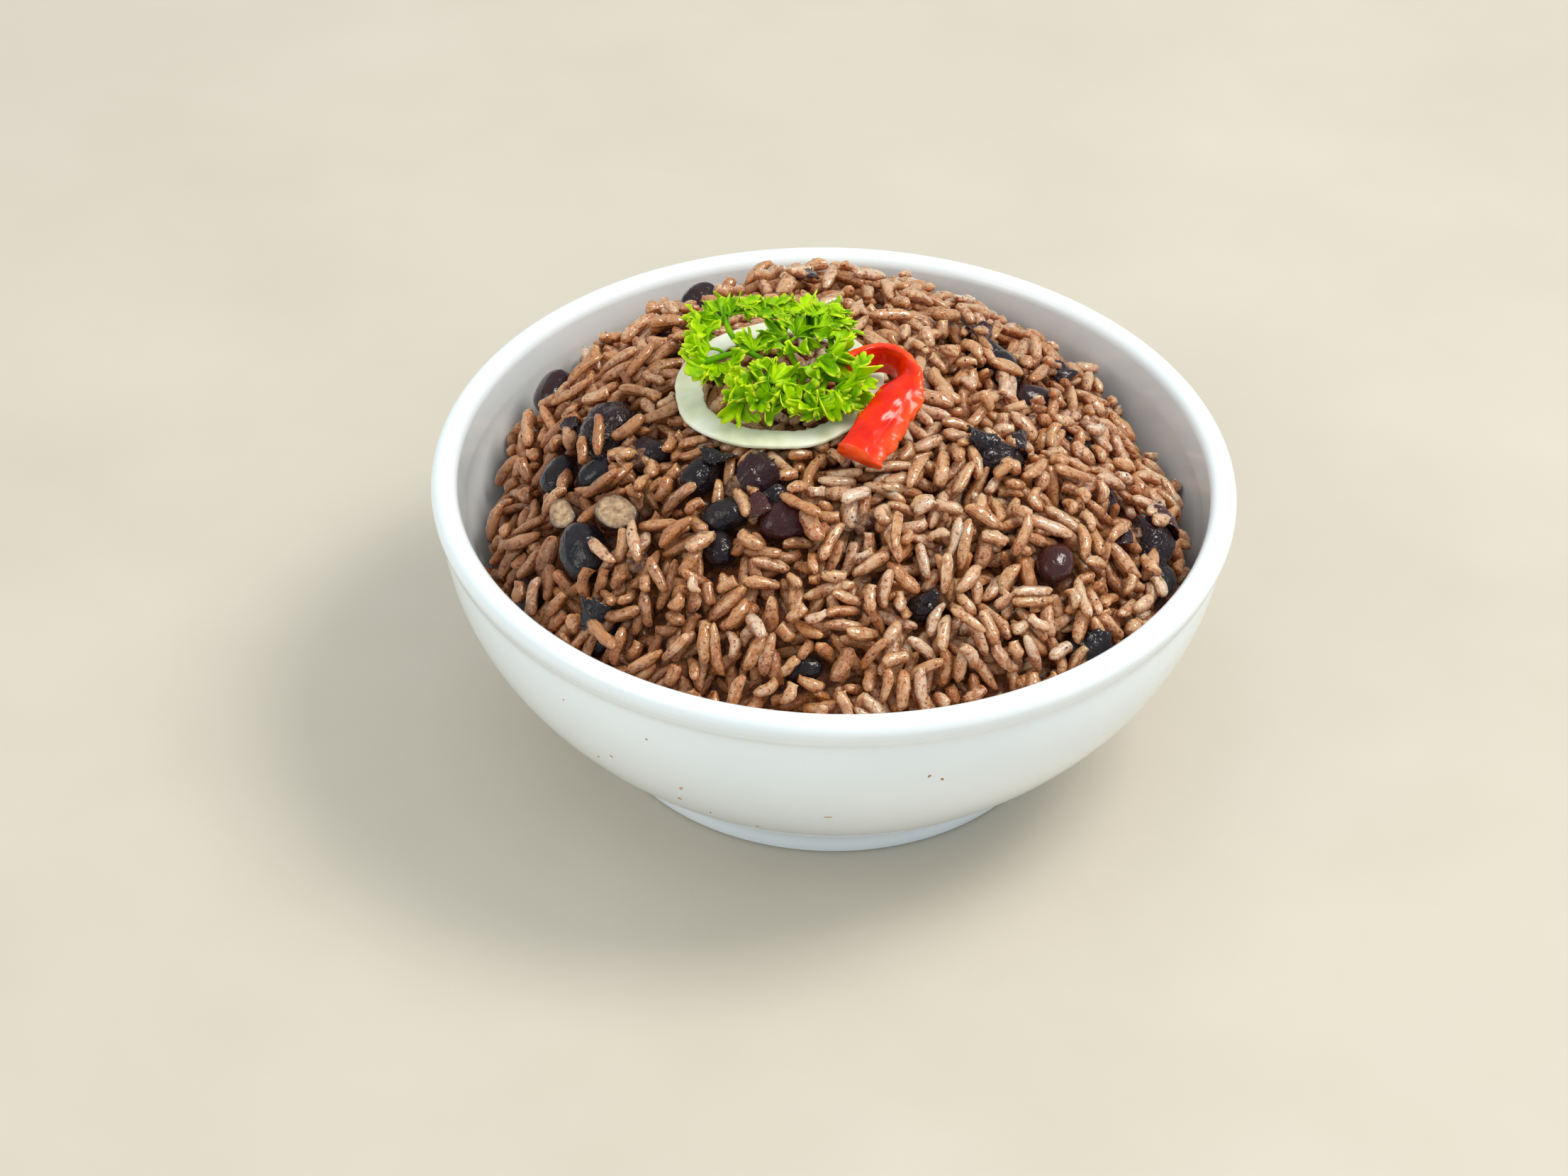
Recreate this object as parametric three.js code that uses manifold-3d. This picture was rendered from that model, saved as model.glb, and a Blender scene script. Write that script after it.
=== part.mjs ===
// A glazed bowl filled with a mound of brown rice and black beans, topped with
// an onion ring, a sprig of curly parsley and a curled strip of red pepper.
// Millimetres, +Z up. The origin is on the bowl's axis, under its foot.

import * as THREE from 'three';
import { mergeVertices } from 'three/addons/utils/BufferGeometryUtils.js';
import Module from 'manifold-3d';

const wasm = await Module();
wasm.setup();

// ---------------------------------------------------------------------------
// Driving dimensions
// ---------------------------------------------------------------------------

const CLEARANCE = 0.35; // between pieces that lie on or beside each other
const SEED = 20261;

const BOWL = {
  radius: 70,
  height: 53,
  columns: 48,
  footRadius: 40.6,
  footInnerRadius: 36.8,
  footBevel: [0.5, 0.7], // width and height
  footHeight: 4,
  recessBevel: 0.6,
  recess: 2.2, // height of the underside within the foot ring
  floor: 6.8, // height of the inside floor
  wallTopRadius: 68.5,
  wallTop: 47.5,
  wallThickness: 4.0,
  wallSteps: 6,
  // the soft step between the wall and the rim: level distance and rise from the wall's top
  groove: [[0.5, 0.9], [1.2, 1.5]],
  rimThickness: 4.7,
  rimRise: 2.4, // the rim's rounded part
  rimSteps: 6,
};

const HEAP = {
  peak: 17, // top of the grains, above the rim
  power: 2.6, // how flat the crown is
  lean: -3, // the crown lies left of the axis
  sink: 1.3, // the bare core lies this far under the tops of the grains
  // where the mound meets the wall, above the rim, every 30 degrees from +X
  edgeLevels: [-12, -13, -7, -3, -7, -11, -16, -11, -7, -7, -7, -5],
  bodySteps: 4,
  wallGap: 0.56, // from the bowl's wall, measured level
  floorGap: 0.7, // from the corner of the bowl's floor, measured level
};

const GRAIN = {
  ridge: 4.4, // from end to end of a grain's ridge
  spacing: 2.5, // between ridge ends
  middleSpacing: 2.2, // from a grain's middle to another's end
  depth: 1.0, // of the valleys between grains
  extraDepth: 0.3, // of the deepest of them
  uneven: 0.25, // how far some ridge ends lie below the others
  reach: 0.95, // grains' middles lie within this share of the mound's area
  edgeShare: 0.975, // no ridge end lies beyond this share of the way to the wall
  tries: 12000,
};

const BEAN = {
  length: 9.6,
  width: 6.8,
  height: 5.6,
  standing: 1.9, // above the tops of the grains
  drops: [0, 0.5, 1.0, 1.5], // a bean in the way of something lies this much lower
};

// beans that show, as [bearing in degrees, distance from the axis, turn in degrees, size]
const BEANS = [
  [151, 58, 40, 1.0], [180, 40, 20, 1.15], [182, 49, 80, 1.0], [192, 43, 10, 0.9],
  [119, 51, 70, 0.95], [213, 44, 150, 0.95], [201, 49, 60, 0.9], [212, 51, 95, 1.1],
  [248, 24, 170, 1.15], [255, 32, 20, 1.1], [240, 40, 100, 0.8], [226, 58, 50, 0.9],
  [205, 60, 130, 0.85], [43, 38, 140, 0.9], [35, 37, 100, 0.95], [22, 39, 10, 1.0],
  [340, 30, 25, 1.15], [321, 49, 60, 0.95], [290, 47, 170, 0.85], [346, 57, 110, 1.1],
  [340, 61, 60, 1.0], [316, 61, 30, 0.85], [353, 49, 90, 0.8], [12, 45, 0, 0.9],
];

const ONION = {
  centre: [-9, 1],
  radius: 19.3,
  bandWidth: 4.9, // thickness of the onion's layer
  bandSwing: 0.6, // how much wider it is on its widest side
  widestBearing: 150,
  thickness: 1.2, // of the slice
  bevels: [0.25, 0.3], // inside and outside
  waves: [[5, 0.18, 1], [9, 0.12, 0]], // of the outer edge: count, height, phase
  segments: 40,
};

const PEPPER = {
  width: 6.5,
  thickness: 3.0,
  bendThickness: 3.9,
  steps: 18,
  startRoll: 29, // degrees: how the strip leans at its cut end
  bendRoll: -90, // and where it stands on edge
  twistLength: 0.62, // the part of its length over which it turns
  // the section, in halves of the width and the thickness
  section: [
    [-1, -0.6], [-1, 0.7], [-0.85, 1], [0, 1.08], [0.85, 1], [1, 0.7], [1, -0.6], [0.7, -1], [-0.7, -1],
  ],
  // the middle of the strip, from the cut end in front, round the bend
  spine: [
    [4.0, -21.5, 72.9], [8.2, -14.0, 73.6], [11.8, -7.5, 74.6], [12.8, -3.0, 75.2],
    [11.2, 0.8, 75.4], [7.6, 1.8, 75.4], [4.0, 0.0, 75.4], [1.4, -3.2, 75.4],
  ],
};

const PARSLEY = {
  stemRadius: 0.75,
  stemSides: 4,
  leafThickness: 0.55,
  leafSteps: 6,
  leafRows: [0.04, 0.55, 1.0], // shares of the length
  notch: 0.82, // between the teeth of a leaf's edge
  sideLength: 0.8, // of a leaf's sides, as a share of its middle
  ruffle: 0.13, // height, as a share of the length
  ruffleWaves: 4.6, // radians from the middle to a side
  // stems, from the cut end outwards
  stems: [
    [[-1, -2.5, 75.2], [-5.5, -2.2, 75.4], [-10, -0.4, 76], [-15, 2.2, 76.6], [-19.5, 3.6, 76.8]],
    [[-1, -2.5, 75.2], [-1.6, 1.2, 76.6], [-1.2, 5.5, 78]],
    [[-5.5, -2.2, 75.4], [-7.4, 2.6, 77], [-7.5, 7, 78.4]],
    [[-15, 2.2, 76.6], [-16.4, 5.8, 78]],
    [[-5.5, -2.2, 75.4], [-8.6, -5.5, 75.4], [-12.5, -7.4, 74.8]],
  ],
  // leaflets: [place of the base], heading in degrees, rise in degrees, length, half spread
  leaflets: [
    [[-19.5, 3.6, 76.8], 118, 18, 7.6, 36], [[-19.5, 3.6, 76.8], 180, 2, 8.4, 34],
    [[-19.5, 3.6, 76.8], 242, -10, 7.8, 34], [[-16.4, 5.8, 78], 120, 12, 7.4, 34],
    [[-16.4, 5.8, 78], 48, 16, 8.6, 36], [[-7.5, 7, 78.4], 118, 12, 6.8, 34],
    [[-7.5, 7, 78.4], 48, 12, 7.4, 34], [[-1.2, 5.5, 78], 95, 12, 8.2, 34],
    [[-1.2, 5.5, 78], 25, 14, 7.2, 34], [[-7.4, 2.6, 77], 345, 30, 7.0, 40],
    [[-12.5, -7.4, 74.8], 150, 2, 7.4, 36], [[-12.5, -7.4, 74.8], 215, -4, 8.0, 34],
    [[-10.2, -6.3, 75.2], 272, -4, 8.2, 38], [[-3.0, -2.4, 75.3], 258, 0, 10.2, 34],
    [[-1, -2.5, 75.2], 312, 14, 9.0, 34],
  ],
};

// ---------------------------------------------------------------------------
// Small helpers
// ---------------------------------------------------------------------------

const vec = (x, y, z) => new THREE.Vector3(x, y, z);
const radians = THREE.MathUtils.degToRad;
const mix = THREE.MathUtils.lerp;

function makeRandom(seed) {
  let state = seed;
  return (low = 0, high = 1) => {
    state = (state + 0x6d2b79f5) | 0;
    let t = Math.imul(state ^ (state >>> 15), 1 | state);
    t = (t + Math.imul(t ^ (t >>> 7), 61 | t)) ^ t;
    return low + ((high - low) * ((t ^ (t >>> 14)) >>> 0)) / 4294967296;
  };
}

const random = makeRandom(SEED);

function toSolid(geometry) {
  const bare = geometry.index ? geometry.clone() : geometry;
  bare.deleteAttribute('normal');
  bare.deleteAttribute('uv');
  const merged = mergeVertices(bare, 1e-4);
  const corners = merged.index.array;
  const faces = [];
  for (let i = 0; i < corners.length; i += 3) {
    const [a, b, c] = [corners[i], corners[i + 1], corners[i + 2]];
    if (a !== b && b !== c && c !== a) faces.push(a, b, c);
  }
  return new wasm.Manifold(new wasm.Mesh({
    numProp: 3,
    vertProperties: new Float32Array(merged.attributes.position.array),
    triVerts: new Uint32Array(faces),
  }));
}

function toGeometry(solid) {
  const mesh = solid.getMesh();
  const geometry = new THREE.BufferGeometry();
  geometry.setAttribute('position', new THREE.BufferAttribute(mesh.vertProperties, 3));
  geometry.setIndex(new THREE.BufferAttribute(mesh.triVerts, 1));
  return geometry;
}

function facesToGeometry(points, faces) {
  const geometry = new THREE.BufferGeometry();
  geometry.setAttribute('position', new THREE.Float32BufferAttribute(points.flatMap((p) => p.toArray()), 3));
  geometry.setIndex(faces);
  return geometry;
}

function signedVolume(points, faces) {
  let volume = 0;
  for (let i = 0; i < faces.length; i += 3) {
    const [a, b, c] = [points[faces[i]], points[faces[i + 1]], points[faces[i + 2]]];
    volume += a.dot(b.clone().cross(c)) / 6;
  }
  return volume;
}

// A closed skin over equal rings of points: round again if closed, else with both ends capped.
function loft(rings, closed) {
  const count = rings[0].length;
  const points = rings.flat();
  const faces = [];
  const spans = closed ? rings.length : rings.length - 1;
  for (let i = 0; i < spans; i++) {
    const here = i * count;
    const next = ((i + 1) % rings.length) * count;
    for (let j = 0; j < count; j++) {
      const k = (j + 1) % count;
      faces.push(here + j, here + k, next + k, here + j, next + k, next + j);
    }
  }
  if (!closed) {
    const last = (rings.length - 1) * count;
    for (let j = 1; j < count - 1; j++) {
      faces.push(0, j + 1, j);
      faces.push(last, last + j, last + j + 1);
    }
  }
  if (signedVolume(points, faces) < 0) faces.reverse();
  return facesToGeometry(points, faces);
}

function joinAll(solids) {
  return solids.reduce((whole, next) => whole.add(next));
}

function largestPiece(solid) {
  return solid.decompose().sort((a, b) => b.volume() - a.volume())[0];
}

// ---------------------------------------------------------------------------
// The bowl
// ---------------------------------------------------------------------------

// The outer wall opens from the foot like a parabola: t is 0 at the foot, 1 under the rim.
function outerWall(t) {
  const rise = BOWL.wallTop - BOWL.footHeight;
  const spread = BOWL.wallTopRadius - BOWL.footRadius;
  return new THREE.Vector2(
    BOWL.footRadius + spread * (1 - (1 - t) ** 2),
    BOWL.footHeight + rise * t,
  );
}

function innerWall(t) {
  const rise = BOWL.wallTop - BOWL.footHeight;
  const slope = 2 * (BOWL.wallTopRadius - BOWL.footRadius) * (1 - t);
  const inward = new THREE.Vector2(-rise, slope).normalize();
  return outerWall(t).addScaledVector(inward, BOWL.wallThickness);
}

function innerProfile() {
  const points = [new THREE.Vector2(0, BOWL.floor)];
  for (let i = 0; i <= BOWL.wallSteps; i++) points.push(innerWall(i / BOWL.wallSteps));
  points.push(new THREE.Vector2(BOWL.radius - BOWL.rimThickness, BOWL.height - BOWL.rimRise));
  return points;
}

function rimArc() {
  const half = BOWL.rimThickness / 2;
  const points = [];
  for (let i = 0; i < BOWL.rimSteps; i++) {
    const angle = (Math.PI * i) / BOWL.rimSteps;
    points.push(new THREE.Vector2(
      BOWL.radius - half + half * Math.cos(angle),
      BOWL.height - BOWL.rimRise + BOWL.rimRise * Math.sin(angle),
    ));
  }
  return points;
}

function bowlGeometry() {
  const foot = [
    new THREE.Vector2(0, BOWL.recess),
    new THREE.Vector2(BOWL.footInnerRadius - BOWL.recessBevel, BOWL.recess),
    new THREE.Vector2(BOWL.footInnerRadius, 0),
    new THREE.Vector2(BOWL.footRadius - BOWL.footBevel[0], 0),
    new THREE.Vector2(BOWL.footRadius, BOWL.footBevel[1]),
  ];
  const wall = [];
  for (let i = 0; i <= BOWL.wallSteps; i++) wall.push(outerWall(i / BOWL.wallSteps));
  const top = new THREE.Vector2(BOWL.wallTopRadius, BOWL.wallTop);
  const groove = BOWL.groove.map((step) => top.clone().add(new THREE.Vector2(...step)));
  const inside = innerProfile().reverse();
  const profile = [...foot, ...wall, ...groove, ...rimArc(), ...inside];
  const geometry = new THREE.LatheGeometry(profile, BOWL.columns);
  geometry.rotateX(Math.PI / 2);
  return toGeometry(toSolid(geometry));
}

// ---------------------------------------------------------------------------
// The mound
// ---------------------------------------------------------------------------

// The radius that is free inside the bowl at a height.
function insideRadius(height) {
  const points = innerProfile();
  for (let i = 1; i < points.length; i++) {
    if (height <= points[i].y) {
      const t = (height - points[i - 1].y) / (points[i].y - points[i - 1].y);
      return mix(points[i - 1].x, points[i].x, Math.max(t, 0));
    }
  }
  return points.at(-1).x;
}

// The level where the mound meets the wall, read smoothly between the twelve bearings.
function edgeLevel(bearing) {
  const levels = HEAP.edgeLevels;
  const place = (((bearing / (2 * Math.PI)) % 1) + 1) % 1 * levels.length;
  const i = Math.floor(place);
  const t = place - i;
  const at = (k) => levels[(i + k + levels.length) % levels.length];
  const bend = 2 * at(-1) - 5 * at(0) + 4 * at(1) - at(2) + t * (3 * (at(0) - at(1)) + at(2) - at(-1));
  return BOWL.height + at(0) + 0.5 * t * (at(1) - at(-1) + t * bend);
}

// How far the mound reaches from the axis along a bearing.
function moundReach(bearing) {
  return insideRadius(edgeLevel(bearing) - HEAP.sink) - HEAP.wallGap;
}

// A point on the tops of the grains: share is 0 at the crown and 1 at the wall.
function moundPoint(share, bearing) {
  const edge = edgeLevel(bearing);
  const reach = moundReach(bearing);
  const crown = BOWL.height + HEAP.peak;
  return vec(
    share * reach * Math.cos(bearing) + HEAP.lean * (1 - share ** 2),
    share * reach * Math.sin(bearing),
    edge + (crown - edge) * (1 - share ** HEAP.power),
  );
}

// The share and bearing of a place seen from above, found by a few repeats.
function moundPlace(x, y) {
  let share = 0;
  let bearing = 0;
  for (let i = 0; i < 12; i++) {
    const dx = x - HEAP.lean * (1 - share ** 2);
    bearing = Math.atan2(y, dx);
    share = Math.min(Math.hypot(dx, y) / moundReach(bearing), 1);
  }
  return { share, bearing };
}

function moundHeight(x, y) {
  const { share, bearing } = moundPlace(x, y);
  return moundPoint(share, bearing).z;
}

function moundNormal(x, y) {
  const step = 0.5;
  return vec(
    moundHeight(x - step, y) - moundHeight(x + step, y),
    moundHeight(x, y - step) - moundHeight(x, y + step),
    2 * step,
  ).normalize();
}

// Ends of the grains' ridges, seen from above, each with the number of its grain.
function ridgeEnds(beanPlaces) {
  const ends = [];
  const half = GRAIN.ridge / 2;
  for (let tries = 0, grain = 0; tries < GRAIN.tries; tries++) {
    const share = Math.sqrt(random(0, GRAIN.reach));
    const middle = moundPoint(share, random(0, 2 * Math.PI));
    const turn = random(0, Math.PI);
    const pair = [-half, half].map((along) => ({
      x: middle.x + along * Math.cos(turn), y: middle.y + along * Math.sin(turn), grain,
    }));
    const crowded = (p, q, room) => Math.hypot(p.x - q.x, p.y - q.y) < room;
    const free = pair.every((p) => moundPlace(p.x, p.y).share < GRAIN.edgeShare
      && !beanPlaces.some((bean) => crowded(p, bean, bean.room))
      && !ends.some((q) => crowded(p, q, GRAIN.spacing)));
    if (!free || ends.some((q) => crowded(middle, q, GRAIN.middleSpacing))) continue;
    ends.push(...pair);
    grain += 1;
  }
  return ends;
}

// Delaunay triangles over points seen from above, by adding one point after another.
function triangulate(points) {
  const far = 1e4;
  const all = [...points, { x: -far, y: -far }, { x: far, y: -far }, { x: 0, y: far }];
  const circle = (a, b, c) => {
    const [p, q, r] = [all[a], all[b], all[c]];
    const [qx, qy, rx, ry] = [q.x - p.x, q.y - p.y, r.x - p.x, r.y - p.y];
    const twice = 2 * (qx * ry - qy * rx);
    const [qq, rr] = [qx * qx + qy * qy, rx * rx + ry * ry];
    const [x, y] = [(ry * qq - qy * rr) / twice, (qx * rr - rx * qq) / twice];
    return { corners: [a, b, c], x: p.x + x, y: p.y + y, square: x * x + y * y };
  };
  let triangles = [circle(points.length, points.length + 1, points.length + 2)];
  points.forEach((point, index) => {
    const open = new Map();
    triangles = triangles.filter((t) => {
      if ((point.x - t.x) ** 2 + (point.y - t.y) ** 2 >= t.square) return true;
      t.corners.forEach((a, i) => {
        const b = t.corners[(i + 1) % 3];
        if (!open.delete(`${b},${a}`)) open.set(`${a},${b}`, [a, b]);
      });
      return false;
    });
    for (const [a, b] of open.values()) triangles.push(circle(a, b, index));
  });
  return triangles.map((t) => t.corners).filter((t) => t.every((corner) => corner < points.length));
}

// Ridges the size of grains: a valley point lies low in every triangle, and the
// valleys run from point to point between two grains, never across a ridge. The
// points along the wall belong to no grain.
const NO_GRAIN = -1;

function crownFaces(points) {
  const triangles = triangulate(points);
  const across = new Map();
  triangles.forEach((corners, t) => corners.forEach((a, i) => across.set(`${a},${corners[(i + 1) % 3]}`, t)));
  const surface = points.map((p) => {
    const { share, bearing } = moundPlace(p.x, p.y);
    const low = p.grain === NO_GRAIN ? HEAP.sink : random(0, GRAIN.uneven);
    return moundPoint(share, bearing).add(vec(0, 0, -low));
  });
  const valleys = triangles.map((corners) => {
    const middle = corners.reduce((sum, c) => sum.add(surface[c]), vec()).divideScalar(3);
    return middle.add(vec(0, 0, -GRAIN.depth - random(0, GRAIN.extraDepth)));
  });
  const faces = [];
  const valley = (t) => points.length + t;
  triangles.forEach((corners, t) => corners.forEach((a, i) => {
    const b = corners[(i + 1) % 3];
    const other = across.get(`${b},${a}`);
    const ridge = points[a].grain === points[b].grain;
    if (ridge || other === undefined) faces.push(a, b, valley(t));
    else faces.push(a, valley(other), valley(t));
  }));
  return { points: [...surface, ...valleys], faces };
}

// The core: a crown of grain ridges over a body that follows the bowl's inside.
function coreSolid(beanPlaces) {
  const columns = BOWL.columns;
  const bearings = Array.from({ length: columns }, (_, j) => (2 * Math.PI * j) / columns);
  const ends = ridgeEnds(beanPlaces);
  const edge = bearings.map((bearing) => {
    const point = moundPoint(1, bearing);
    return { x: point.x, y: point.y, grain: NO_GRAIN };
  });
  const { points, faces } = crownFaces([...edge, ...ends]);
  const corner = innerWall(0);
  const bottom = corner.y + CLEARANCE;
  let above = 0;
  for (let i = 1; i <= HEAP.bodySteps; i++) {
    const here = points.length;
    for (const bearing of bearings) {
      const height = mix(edgeLevel(bearing) - HEAP.sink, bottom, i / HEAP.bodySteps);
      const reach = i < HEAP.bodySteps ? insideRadius(height) - HEAP.wallGap : corner.x - HEAP.floorGap;
      points.push(vec(reach * Math.cos(bearing), reach * Math.sin(bearing), height));
    }
    for (let j = 0; j < columns; j++) {
      const k = (j + 1) % columns;
      faces.push(above + j, here + j, here + k, above + j, here + k, above + k);
    }
    above = here;
  }
  const middle = points.push(vec(0, 0, bottom)) - 1;
  for (let j = 0; j < columns; j++) faces.push(middle, above + ((j + 1) % columns), above + j);
  return toSolid(facesToGeometry(points, faces));
}

// A frame that lies on the mound at a place, turned about its normal.
function restingFrame(x, y, turn, lift) {
  const up = moundNormal(x, y);
  const along = vec(Math.cos(turn), Math.sin(turn), 0).projectOnPlane(up).normalize();
  const across = up.clone().cross(along);
  const frame = new THREE.Matrix4().makeBasis(along, across, up);
  const place = vec(x, y, moundHeight(x, y)).addScaledVector(up, lift);
  return frame.setPosition(place);
}

function staysClear(geometry, obstacles) {
  const position = geometry.attributes.position;
  for (let i = 0; i < position.count; i++) {
    const p = vec().fromBufferAttribute(position, i);
    const radius = Math.hypot(p.x, p.y);
    if (radius > insideRadius(Math.min(p.z, BOWL.height)) - CLEARANCE) return false;
  }
  const solid = toSolid(geometry.clone());
  return obstacles.every((obstacle) => solid.intersect(obstacle).isEmpty());
}

// The first of a few lower lies that is clear of the bowl and of what lies on the mound.
function settle(makeShape, x, y, turn, lift, obstacles) {
  for (const drop of BEAN.drops) {
    const geometry = makeShape().applyMatrix4(restingFrame(x, y, turn, lift - drop));
    if (staysClear(geometry, obstacles)) return toSolid(geometry);
  }
  return null;
}

function beanPlace([bearing, distance, turn, size]) {
  return {
    x: distance * Math.cos(radians(bearing)),
    y: distance * Math.sin(radians(bearing)),
    turn: radians(turn),
    size,
    room: (BEAN.width * size) / 2,
  };
}

function beanSolid({ x, y, turn, size }, obstacles) {
  const shape = () => {
    const geometry = new THREE.IcosahedronGeometry(0.5, 1);
    return geometry.scale(BEAN.length * size, BEAN.width * size, BEAN.height * size);
  };
  return settle(shape, x, y, turn, BEAN.standing - (BEAN.height * size) / 2, obstacles);
}

function moundGeometry(toppings) {
  const places = BEANS.map(beanPlace);
  const beans = places.map((place) => beanSolid(place, toppings)).filter((solid) => solid !== null);
  return toGeometry(largestPiece(joinAll([coreSolid(places), ...beans])));
}

// ---------------------------------------------------------------------------
// What lies on top
// ---------------------------------------------------------------------------

// One slice of an onion's layer, laid flat: grown is the extra size all round.
function onionGeometry(grown = 0) {
  const rings = [];
  for (let i = 0; i < ONION.segments; i++) {
    const angle = (2 * Math.PI * i) / ONION.segments;
    const waves = ONION.waves.map(([count, high, phase]) => high * Math.sin(count * angle + phase));
    const outer = ONION.radius + waves[0] + waves[1] + grown;
    const swing = ONION.bandSwing * Math.cos(angle - radians(ONION.widestBearing));
    const inner = outer - ONION.bandWidth - swing - 2 * grown;
    const [inBevel, outBevel] = ONION.bevels;
    const place = (radius, level) => {
      const x = ONION.centre[0] + radius * Math.cos(angle);
      const y = ONION.centre[1] + radius * Math.sin(angle);
      return vec(x, y, moundHeight(x, y) + CLEARANCE + level);
    };
    const [low, high] = [-grown, ONION.thickness + grown];
    rings.push([
      place(inner + inBevel, low), place(outer - outBevel, low), place(outer, mix(low, high, 0.5)),
      place(outer - outBevel, high), place(inner + inBevel, high), place(inner, mix(low, high, 0.5)),
    ]);
  }
  return loft(rings, true);
}

// The pepper strip: it stands on edge round its bend and twists to lie nearly flat at its cut end.
function pepperGeometry(grown = 0) {
  const curve = new THREE.CatmullRomCurve3(PEPPER.spine.map((p) => vec(...p)), false, 'centripetal');
  const rings = [];
  for (let i = 0; i <= PEPPER.steps; i++) {
    const t = i / PEPPER.steps;
    const along = curve.getTangentAt(t);
    const beyond = grown * (t === 0 ? -1 : t === 1 ? 1 : 0);
    const centre = curve.getPointAt(t).addScaledVector(along, beyond);
    const turned = THREE.MathUtils.smoothstep(t, 0, PEPPER.twistLength);
    const roll = radians(mix(PEPPER.startRoll, PEPPER.bendRoll, turned));
    const up = vec(0, 0, 1).projectOnPlane(along).normalize();
    const side = along.clone().cross(up);
    const across = side.clone().multiplyScalar(-Math.cos(roll)).addScaledVector(up, Math.sin(roll));
    const inner = up.multiplyScalar(Math.cos(roll)).addScaledVector(side, Math.sin(roll));
    const halfWidth = PEPPER.width / 2 + grown;
    const halfDepth = mix(PEPPER.thickness, PEPPER.bendThickness, turned) / 2 + grown;
    rings.push(PEPPER.section.map(([a, b]) => centre.clone()
      .addScaledVector(across, a * halfWidth).addScaledVector(inner, b * halfDepth)));
  }
  return loft(rings, false);
}

function stemSolid(path) {
  const curve = new THREE.CatmullRomCurve3(path.map((p) => vec(...p)));
  const section = new THREE.Shape();
  for (let i = 0; i < PARSLEY.stemSides; i++) {
    const angle = (2 * Math.PI * i) / PARSLEY.stemSides;
    const [x, y] = [PARSLEY.stemRadius * Math.cos(angle), PARSLEY.stemRadius * Math.sin(angle)];
    if (i === 0) section.moveTo(x, y); else section.lineTo(x, y);
  }
  const steps = 2 * (path.length - 1);
  return toSolid(new THREE.ExtrudeGeometry(section, { steps, extrudePath: curve, bevelEnabled: false }));
}

// A leaflet: a ruffled fan with a toothed edge, both faces split alike.
function leafletSolid([base, heading, rise, length, spread]) {
  const steps = PARSLEY.leafSteps;
  const phase = random(0, 2 * Math.PI);
  const rows = PARSLEY.leafRows;
  const frame = new THREE.Matrix4().makeRotationZ(radians(heading));
  frame.multiply(new THREE.Matrix4().makeRotationY(-radians(rise)));
  frame.setPosition(...base);
  const sheet = (level) => {
    const points = [];
    for (const row of rows) {
      for (let i = 0; i <= steps; i++) {
        const sweep = mix(-1, 1, i / steps);
        const tooth = row === 1 && i % 2 === 0 ? PARSLEY.notch : 1;
        const reach = length * row * tooth * mix(1, PARSLEY.sideLength, sweep ** 2);
        const angle = sweep * radians(spread);
        const ruffle = PARSLEY.ruffle * length * row ** 1.5 * Math.sin(PARSLEY.ruffleWaves * sweep + phase);
        const point = vec(reach * Math.cos(angle), reach * Math.sin(angle), ruffle + level);
        points.push(point.applyMatrix4(frame));
      }
    }
    return points;
  };
  const half = PARSLEY.leafThickness / 2;
  const points = [...sheet(half), ...sheet(-half)];
  const count = steps + 1;
  const below = points.length / 2;
  const faces = [];
  for (let r = 0; r < rows.length - 1; r++) {
    for (let i = 0; i < steps; i++) {
      const [a, b] = [r * count + i, (r + 1) * count + i];
      faces.push(a, b, b + 1, a, b + 1, a + 1);
      faces.push(below + a, below + b + 1, below + b, below + a, below + a + 1, below + b + 1);
    }
  }
  const edge = [];
  const lastRow = (rows.length - 1) * count;
  for (let i = 0; i < steps; i++) edge.push([i + 1, i]);
  for (let r = 0; r < rows.length - 1; r++) edge.push([r * count, (r + 1) * count]);
  for (let i = 0; i < steps; i++) edge.push([lastRow + i, lastRow + i + 1]);
  for (let r = rows.length - 1; r > 0; r--) edge.push([r * count + steps, (r - 1) * count + steps]);
  for (const [a, b] of edge) faces.push(a, below + b, b, a, below + a, below + b);
  if (signedVolume(points, faces) < 0) faces.reverse();
  return toSolid(facesToGeometry(points, faces));
}

function parsleyGeometry(obstacles) {
  const stems = PARSLEY.stems.map(stemSolid);
  const leaflets = PARSLEY.leaflets.map(leafletSolid);
  const whole = obstacles.reduce((solid, next) => solid.subtract(next), joinAll([...stems, ...leaflets]));
  return toGeometry(largestPiece(whole));
}

// ---------------------------------------------------------------------------
// The scene graph
// ---------------------------------------------------------------------------

function piece(name, geometry, color, roughness) {
  const material = new THREE.MeshStandardMaterial({ color, roughness, metalness: 0 });
  const mesh = new THREE.Mesh(geometry, material);
  mesh.name = name;
  return mesh;
}

const toppings = [toSolid(onionGeometry(CLEARANCE)), toSolid(pepperGeometry(CLEARANCE))];
const parsley = parsleyGeometry(toppings);

const group = new THREE.Group();
group.add(piece('bowl', bowlGeometry(), 0xe6ebe9, 0.15));
group.add(piece('rice_and_beans', moundGeometry([...toppings, toSolid(parsley.clone())]), 0xb98a66, 0.5));
group.add(piece('onion_ring', onionGeometry(), 0xd9dcc3, 0.3));
group.add(piece('parsley_sprig', parsley, 0x7fb81e, 0.5));
group.add(piece('pepper_strip', pepperGeometry(), 0xd93a1a, 0.25));

export default group;
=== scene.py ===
# A glazed bowl filled with a mound of brown rice and black beans, topped with an
# onion ring, a sprig of curly parsley and a curled strip of red pepper.
# Lengths are in millimetres until a mesh is made, and in metres in Blender.

import math

import bmesh
import bpy
import numpy as np
from mathutils import Matrix, Vector


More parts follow.
